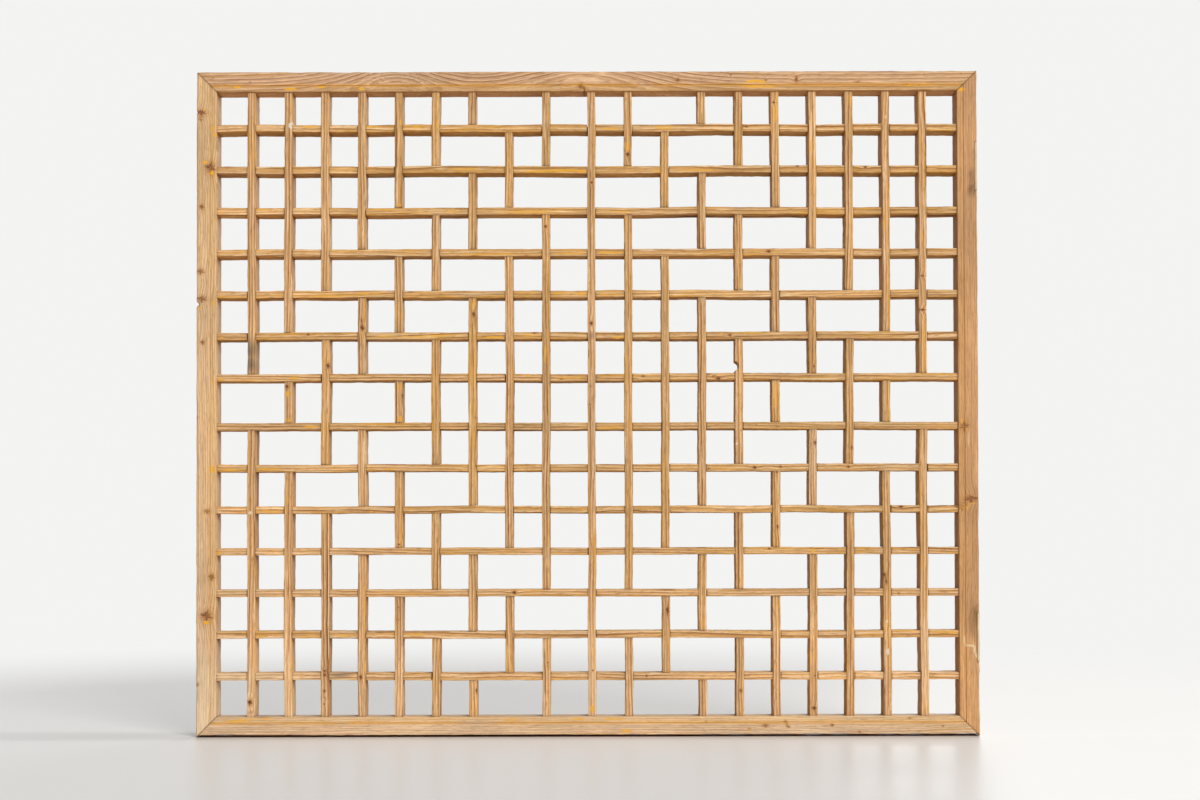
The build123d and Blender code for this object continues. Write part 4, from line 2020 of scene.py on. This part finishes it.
    def mitred(self, t: Array, across: Array) -> Array:
        """Shear the rings near both ends so that the ends are cut at 45 degrees.

        Args:
            t: Places of the rings.
            across: Places across the face of each ring's points.

        Returns:
            Place along the member of each point.
        """
        reach = self.shear_reach * self.face
        start = np.clip(1 - t / reach, 0, 1)[:, None]
        stop = np.clip(1 - (self.length - t) / reach, 0, 1)[:, None]
        return t[:, None] + across * (start - stop)

    def dents(self, along: Array, across: Array, depth: Array) -> Array:
        """How far the front is torn or worn down.

        Args:
            along: Places along the member.
            across: Places across the face.
            depth: Places in depth.

        Returns:
            Added depth.
        """
        down = np.zeros_like(along)
        for mark in self.marks:
            if mark.kind is HOLLOW:
                reach = np.hypot(*mark.offset(np.stack([along, across], axis=-1)))
                down += mark.strength * MM * (1 - eased(*self.dent_ease, reach))
        return np.where(depth < self.dent_depth, down, 0.0)

    def grain(self, local: Array, rng: Rng) -> Array:
        """Place in the tree of each point: a flat-sawn face shows cathedral figures round its eyes.

        Args:
            local: Points (s, a, d).
            rng: Source of the way it was sawn.

        Returns:
            Places along the log, across it and inward.
        """
        s, a, d = local.T
        sway = Wave.seeded(rng, *self.grain_sway).at(s)
        shift = rng.uniform(*self.log_place)
        if not self.look.eyes:
            turn = rng.normal(0.0, self.sawn_turn)
            across = a * math.cos(turn) + d * math.sin(turn) + rng.uniform(*self.pith) + sway
            return np.stack([s + shift, across, d * math.cos(turn) - a * math.sin(turn)], axis=1)
        swell = np.zeros_like(s)
        away = np.ones_like(s)
        for eye in self.look.eyes:
            middle, _ = self.local(self.photo.x(eye.px), 0.0)
            swell += eye.swell * MM * hump(s - middle, eye.reach * MM)
            away *= 1 - hump(s - middle, self.eye_spread * eye.reach * MM)
        pith = self.face * (self.eye_pith + self.away_pith * away)
        front_only = 1 - eased(*self.swell_ease, d / self.depth)
        return np.stack([s + shift, a - pith + sway, d + self.heart_depth + swell * front_only], axis=1)

    def wear(self, local: Array) -> Array:
        """Wear of the member's edges, dirt in its joints, painted shade in its bites and under its worn foot,
        and paint in its scribed line.

        Args:
            local: Points (s, a, d).

        Returns:
            Edge rub, joint grime with painted shade, and painted groove at each point.
        """
        s, a, d = local.T
        near_front = hump(d, self.front_depth)
        edge = near_front * hump(np.minimum(a, self.face - a), self.rub_width)
        end = np.minimum(np.abs(s - a), np.abs(self.length - s - a))
        joint = self.mitre_grime.at(end)
        line = a - self.line_place
        groove = near_front * (hump(line, self.look.paint_spread) + self.lip_paint * (a > self.line_place))
        groove *= eased(0.0, self.paint_end, end)
        paint_low, paint_high = self.look.paint
        groove *= paint_low + (paint_high - paint_low) * eased(*self.paint_ease, s / self.length)
        joint += self.line_grime * hump(line, self.line_grime_width) * (d > self.line_depth) * near_front
        # Painted shade inside each bite, laid through the joint grime.
        for bite in self.bites:
            inside = 1 - eased(bite.depth, self.bite_shade_depth * bite.depth, a)
            joint += self.bite_shade * hump(s - bite.s, self.bite_shade_share * bite.length) * inside
        for low, high in self.seats:
            beside = eased(low - self.seat_margin, low, s)
            beside *= 1 - eased(high, high + self.seat_margin, s)
            seam = hump(np.maximum(a - self.seat_thick, 0), self.seam_reach)
            joint += self.seat_grime * beside * near_front * seam
        # Painted shade under the worn foot, laid through the joint grime.
        if self.look.foot:
            joint += self.look.foot.dirt(a, d)
        return np.stack([edge, np.minimum(joint, 1.0), np.minimum(groove, 1.0)], axis=1)

    def tone(self, local: Array, rng: Rng) -> Array:
        """Tone of the member, which changes along it, with painted shade and painted light on its sides.

        Args:
            local: Points (s, a, d).
            rng: Source of its clouds.

        Returns:
            Brightness, warmth and weathering at each point, with painted side shade, a painted grey cast,
            painted warmth and painted bounce light.
        """
        s, a, d = local.T
        look = self.look
        share = s / self.length
        bright = look.bright[LOW] + (look.bright[HIGH] - look.bright[LOW]) * share
        bright = bright + Wave.seeded(rng, *self.bright_wave).at(s)
        warmth = look.warmth[LOW] + (look.warmth[HIGH] - look.warmth[LOW]) * share
        lip = a > self.line_place
        # Paler towards the foot of the member.
        foot = 1 - eased(*self.paling_ease, share)
        warmth = warmth + self.lip_warmth * lip - look.foot_paling * foot
        # Painted shade and painted light: the sides behind the front are darker, grey-cast and shifted in
        # warmth.
        behind = eased(*self.side_ease, d)
        bright = bright * (1 - self.side_shade * behind) * (1 - look.lip_shade * lip * (1 - behind))
        # Painted bounce light: the inner face near the front is brightened.
        inner_start, inner_stop = (self.face - margin for margin in self.inner_ease)
        inner = behind * eased(inner_start, inner_stop, a)
        bright = bright * (1 + look.inner_painted_light * inner)
        return np.stack([bright, warmth + self.painted_side_warmth * behind, self.painted_side_grey * behind], axis=1)


@dataclass
class Block(Timber):
    """A small squared piece of wood with rounded edges, such as a tenon's end or a let-in patch."""

    low: Array = field(default_factory=lambda: np.zeros(3))
    high: Array = field(default_factory=lambda: np.ones(3))
    arris: float = 0.5 * MM
    arris_points: int = 3
    end_round: float = 0.8
    ripple: float = 0.08 * MM
    ripple_length: float = 0.02
    step: float = 2.5 * MM
    pith: Pair = (20.0 * MM, 40.0 * MM)
    heart_depth: float = 10.0 * MM
    end_grime: float = 0.35
    end_grime_reach: float = 1.2 * MM
    bright_spread: float = 0.03
    bright_wave: Pair = (0.05, 0.05)

    def rings(self) -> Array:
        """Cut and round the block.

        Returns:
            Rings of points (s, a, d).
        """
        rng = np.random.default_rng(self.seed)
        along, across = self.run.value
        start, stop = self.low[along], self.high[along]
        s = refined(start, stop, min(self.step, (stop - start) / 2), [start + self.arris, stop - self.arris])
        from_end = np.minimum(s - start, stop - s)
        end = np.maximum(0, 1 - from_end / self.arris) * self.arris * self.end_round
        waves = [np.abs(Wave.seeded(rng, self.ripple, self.ripple_length).at(s)) + end for _ in range(4)]
        left, right = self.low[across] + waves[0], self.high[across] - waves[1]
        front, back = self.low[Y] + waves[2], self.high[Y] - waves[3]
        radius = np.full_like(s, self.arris)
        section = arc(left, front, radius, Quarter.LEFT_FRONT, self.arris_points)
        section += arc(right, front, radius, Quarter.RIGHT_FRONT, self.arris_points)
        section += arc(right, back, radius, Quarter.RIGHT_BACK, self.arris_points)
        section += arc(left, back, radius, Quarter.LEFT_BACK, self.arris_points)
        return joined(s[:, None], *laid_out(section))

    def grain(self, local: Array, rng: Rng) -> Array:
        """Place in the tree of each point.

        Args:
            local: Points (s, a, d).
            rng: Source of the way it was sawn.

        Returns:
            Places along the log, across it and inward.
        """
        s, a, d = local.T
        along = s + rng.uniform(*self.log_place)
        return np.stack([along, a + rng.uniform(*self.pith), d + self.heart_depth], axis=1)

    def wear(self, local: Array) -> Array:
        """Dirt at the block's ends.

        Args:
            local: Points (s, a, d).

        Returns:
            Edge rub, joint grime and painted groove at each point.
        """
        s = local[:, 0]
        along, _ = self.run.value
        gap = np.minimum(s - self.low[along], self.high[along] - s)
        joint = self.end_grime * np.exp(-gap / self.end_grime_reach)
        return np.stack([np.zeros_like(s), joint, np.zeros_like(s)], axis=1)

    def tone(self, local: Array, rng: Rng) -> Array:
        """Tone of the block.

        Args:
            local: Points (s, a, d).
            rng: Source of its clouds.

        Returns:
            Brightness, warmth and weathering at each point.
        """
        s = local[:, 0]
        bright = rng.normal(1.0, self.bright_spread) + Wave.seeded(rng, *self.bright_wave).at(s)
        return np.stack([bright, np.zeros_like(s), np.zeros_like(s)], axis=1)


@dataclass
class OuterFrame:
    """The two stiles and two rails, with the rails' tenons showing at the stiles' outer edges."""

    photo: PhotoMap
    seed: int = 2300
    tenon_seed_step: int = 10
    tenon_shoulder: float = 7.0 * MM
    tenon_thick: float = 11.0 * MM
    tenon_shown: float = 5.0 * MM

    def build(self, marks: list[Mark], bites: list[Bite]) -> None:
        """Lay out, mark and dress the four members.

        Args:
            marks: Marks still to place; those on the frame are taken.
            bites: Bites still to place; those on the frame are taken.
        """
        finishes = {
            "stile_left": (Side.LEFT, LEFT_STILE_WOOD),
            "stile_right": (Side.RIGHT, RIGHT_STILE_WOOD),
            "rail_top": (Side.TOP, TOP_RAIL_WOOD),
            "rail_bottom": (Side.BOTTOM, BOTTOM_RAIL_WOOD),
        }
        for number, (node, (side, finish)) in enumerate(finishes.items()):
            member = self.member(node, side, self.seed + number)
            member.take_marks(marks)
            member.take_bites(bites)
            shells = [member.shell()]
            if not member.upright:
                shells += self.tenon_ends(node, self.seed + self.tenon_seed_step * number)
            add_piece(f"{node}_wood", shells, finish.material(), node)

    def member(self, node: str, side: Side, seed: int) -> FrameMember:
        """Set out one member from its solid's box.

        Args:
            node: The solid.
            side: Its place in the frame.
            seed: Seed of its waves.

        Returns:
            The member.
        """
        low, high = take_box(node)
        run = Run.UPRIGHT if side in (Side.LEFT, Side.RIGHT) else Run.CROSS
        along, across = run.value
        from_high = side in (Side.RIGHT, Side.TOP)
        outer = high[across] if from_high else low[across]
        member = FrameMember(
            seed,
            self.photo,
            run=run,
            origin=(low[along], outer, low[Y]),
            turned=-1 if from_high else 1,
            side=side,
            length=high[along] - low[along],
            face=high[across] - low[across],
            depth=high[Y] - low[Y],
        )
        if side is Side.RIGHT:
            for patch in ("hinge_patch_lower", "hinge_patch_upper"):
                patch_low, patch_high = take_box(patch)
                member.seats.append((patch_low[Z] - low[Z], patch_high[Z] - low[Z]))
                member.seat_thick = patch_high[X] - patch_low[X]
                member.seat_depth = patch_high[Y] - patch_low[Y]
        return member

    def tenon_ends(self, node: str, seed: int) -> list[Shell]:
        """The ends of a rail's through tenons, flush in the stiles' outer edges.

        Args:
            node: The rail's solid.
            seed: Seed of their ripple.

        Returns:
            Two skins.
        """
        low, high = take_box(node)
        middle = (low[Y] + high[Y]) / 2
        ends = ((low[X], low[X] + self.tenon_shown), (high[X] - self.tenon_shown, high[X]))
        shells = []
        for number, (start, stop) in enumerate(ends):
            corner_low = np.array([start, middle - self.tenon_thick / 2, low[Z] + self.tenon_shoulder])
            corner_high = np.array([stop, middle + self.tenon_thick / 2, high[Z] - self.tenon_shoulder])
            block = Block(seed + number, self.photo, run=Run.CROSS, low=corner_low, high=corner_high)
            block.front = corner_low[Y]
            shells.append(block.shell())
        return shells


@dataclass
class HingeSeats:
    """The two wooden patches let into the right stile where hinges once sat."""

    photo: PhotoMap
    seed: int = 3700
    arris: float = 0.6 * MM
    ripple: float = 0.12 * MM

    def build(self) -> None:
        """Set out and dress both patches."""
        material = PATCH_WOOD.material()
        for number, node in enumerate(("hinge_patch_upper", "hinge_patch_lower")):
            low, high = take_box(node)
            block = Block(self.seed + number, self.photo, front=low[Y], low=low, high=high)
            block.arris, block.ripple = self.arris, self.ripple
            add_piece(f"{node}_wood", [block.shell()], material, node)


@dataclass(frozen=True)
class Lamp:
    """A square soft light: its name, where it hangs, its side and its watts."""

    name: str
    place: Place
    size: float
    power: float


@dataclass
class Studio:
    """A pale floor, soft light from the right front, and the camera straight in front of the panel."""

    front: float
    half_width: float
    middle_height: float

    # Floor
    floor_half: float = 14.0
    floor_colour: Colour = (0.90, 0.89, 0.88)
    floor_specular: float = 0.16
    floor_clouds: Noise = Noise(1.6, 1.6, 3.0, Ease(0.3, 0.7, 0.29, 0.32))
    bounce_colour: Colour = (0.74, 0.56, 0.39)
    # Painted shadow: a dark brown patch on the floor under the panel's footprint, warmed as by the wood's
    # reflection.
    under_shade_colour: Colour = (0.40, 0.19, 0.08)
    under_rim: float = 3.5 * MM
    floor_glow: Ease = Ease(0.018, 0.08, 0.0, 0.34)
    floor_fade: Ease = Ease(0.5, 2.6)

    # Light
    sky_colour: Colour = (0.90, 0.90, 0.89)
    ambient_colour: Colour = (1.0, 0.985, 0.96)
    ambient: float = 0.10
    lamp_colour: Colour = (1.0, 0.985, 0.955)
    lamps: tuple[Lamp, ...] = (
        Lamp("key", (8.8, -14.0, 10.4), 8.0, 2590.0),
        Lamp("front_fill", (1.0, -14.0, 3.0), 6.0, 330.0),
        Lamp("back_fill", (6.0, 13.0, 7.0), 8.0, 640.0),
    )

    # Camera
    lens: float = 50.0
    sensor: float = 36.0
    lens_shift: float = 0.0997
    camera_place: Place = (0.019, -2.553, 0.296)
    camera_pitch: float = math.radians(0.81)
    camera_roll: float = math.radians(0.12)

    def build(self) -> None:
        """Lay the floor, light the panel and set the camera."""
        scene = bpy.context.scene
        scene.view_settings.view_transform = "Standard"
        self.floor()
        self.world(scene)
        for lamp in self.lamps:
            self.hang(lamp)
        self.camera(scene)

    def floor(self) -> None:
        """A plain pale floor with a faint gloss."""
        half = self.floor_half
        corners = [(-half, -half, 0), (half, -half, 0), (half, half, 0), (-half, half, 0)]
        mesh = bpy.data.meshes.new("floor")
        mesh.from_pydata(corners, [], [list(range(len(corners)))])
        mesh.materials.append(self.floor_finish())
        floor = bpy.data.objects.new("floor", mesh)
        bpy.context.scene.collection.objects.link(floor)
        floor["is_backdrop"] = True

    def floor_finish(self) -> bpy.types.Material:
        """Pale and even to the camera, wood-coloured in the light it throws back, with a painted dark brown
        shadow under the panel.

        Returns:
            The material.
        """
        material = bpy.data.materials.new("pale_floor")
        desk = NodeDesk(material)
        place = desk.node("ShaderNodeTexCoord").outputs["Object"]
        looked_at = desk.node("ShaderNodeLightPath").outputs["Is Camera Ray"]
        wide, depth, _ = desk.parts(place)
        aside, away = desk.math("ABSOLUTE", wide), desk.math("ABSOLUTE", depth)
        # Painted shadow under the panel's footprint.
        below = desk.remap(away, Ease(-self.front - self.under_rim, -self.front, 1.0, 0.0))
        between = desk.remap(aside, Ease(self.half_width - self.under_rim, self.half_width, 1.0, 0.0))
        colour = desk.mix(looked_at, self.bounce_colour, self.floor_colour)
        look = {
            "Base Color": desk.mix(desk.product(below, between), colour, self.under_shade_colour),
            "Roughness": desk.drawn_out(place, self.floor_clouds),
            "Specular IOR Level": self.floor_specular,
        }
        shader = desk.node("ShaderNodeBsdfPrincipled", look)
        glow = desk.remap(away, self.floor_glow)
        far = desk.remap(desk.length(place), self.floor_fade)
        seen = desk.product(desk.math("MAXIMUM", glow, far), looked_at)
        haze = desk.node("ShaderNodeEmission", {"Color": desk.colour(self.sky_colour)})
        faded = desk.node("ShaderNodeMixShader", {0: seen, 1: shader.outputs[0], 2: haze.outputs[0]})
        desk.node("ShaderNodeOutputMaterial", {"Surface": faded.outputs[0]})
        return material

    def world(self, scene: bpy.types.Scene) -> None:
        """Even soft light all round, seen by the camera and in gloss as a pale background.

        Args:
            scene: The scene to light.
        """
        scene.world = bpy.data.worlds.new("pale_room")
        desk = NodeDesk(scene.world)
        path = desk.node("ShaderNodeLightPath").outputs
        seen = desk.math("MAXIMUM", path["Is Camera Ray"], path["Is Glossy Ray"])
        soft_look = {"Color": desk.colour(self.ambient_colour), "Strength": self.ambient}
        soft = desk.node("ShaderNodeBackground", soft_look).outputs[0]
        shown = desk.node("ShaderNodeBackground", {"Color": desk.colour(self.sky_colour)}).outputs[0]
        mixed = desk.node("ShaderNodeMixShader", {0: seen, 1: soft, 2: shown})
        desk.node("ShaderNodeOutputWorld", {"Surface": mixed.outputs[0]})

    def hang(self, lamp: Lamp) -> None:
        """Hang a lamp and aim it at the panel's middle.

        Args:
            lamp: The lamp.
        """
        light = bpy.data.lights.new(lamp.name, "AREA")
        light.size = lamp.size
        light.energy = lamp.power
        light.color = self.lamp_colour
        hung = bpy.data.objects.new(lamp.name, light)
        hung.location = lamp.place
        target = bpy.data.objects.new(f"{lamp.name}_aim", None)
        target.location = (0.0, 0.0, self.middle_height)
        aim = hung.constraints.new("TRACK_TO")
        aim.target = target
        aim.track_axis = "TRACK_NEGATIVE_Z"
        aim.up_axis = "UP_Y"
        for thing in (hung, target):
            bpy.context.scene.collection.objects.link(thing)

    def camera(self, scene: bpy.types.Scene) -> None:
        """The photograph's straight view, with the lens shifted up as far as its framing needs.

        Args:
            scene: The scene to look at.
        """
        data = bpy.data.cameras.new("front_camera")
        data.lens = self.lens
        data.sensor_width = self.sensor
        data.shift_y = self.lens_shift
        camera = bpy.data.objects.new("front_camera", data)
        aside, back, up = self.camera_place
        camera.location = (aside, self.front + back, up)
        camera.rotation_euler = (math.pi / 2 + self.camera_pitch, self.camera_roll, 0.0)
        scene.collection.objects.link(camera)
        scene.camera = camera


def main() -> None:
    """Dress the panel piece by piece and set up the studio."""
    logging.basicConfig(level=logging.INFO, format="%(name)s: %(message)s")
    cad_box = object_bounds()
    low, high = (np.array(corner) for corner in cad_box)
    photo = PhotoMap(panel_width=float(high[X] - low[X]), panel_height=float(high[Z] - low[Z]))
    marks, bites = list(MARKS), list(BITES)
    OuterFrame(photo).build(marks, bites)
    Lattice(photo).build(marks, bites)
    HingeSeats(photo).build()
    for left_over in marks + bites:
        LOG.info("not on any wood: %s", left_over)
    Studio(front=float(low[Y]), half_width=float(high[X]), middle_height=float(high[Z]) / 2).build()


if __name__ == "__main__":
    main()
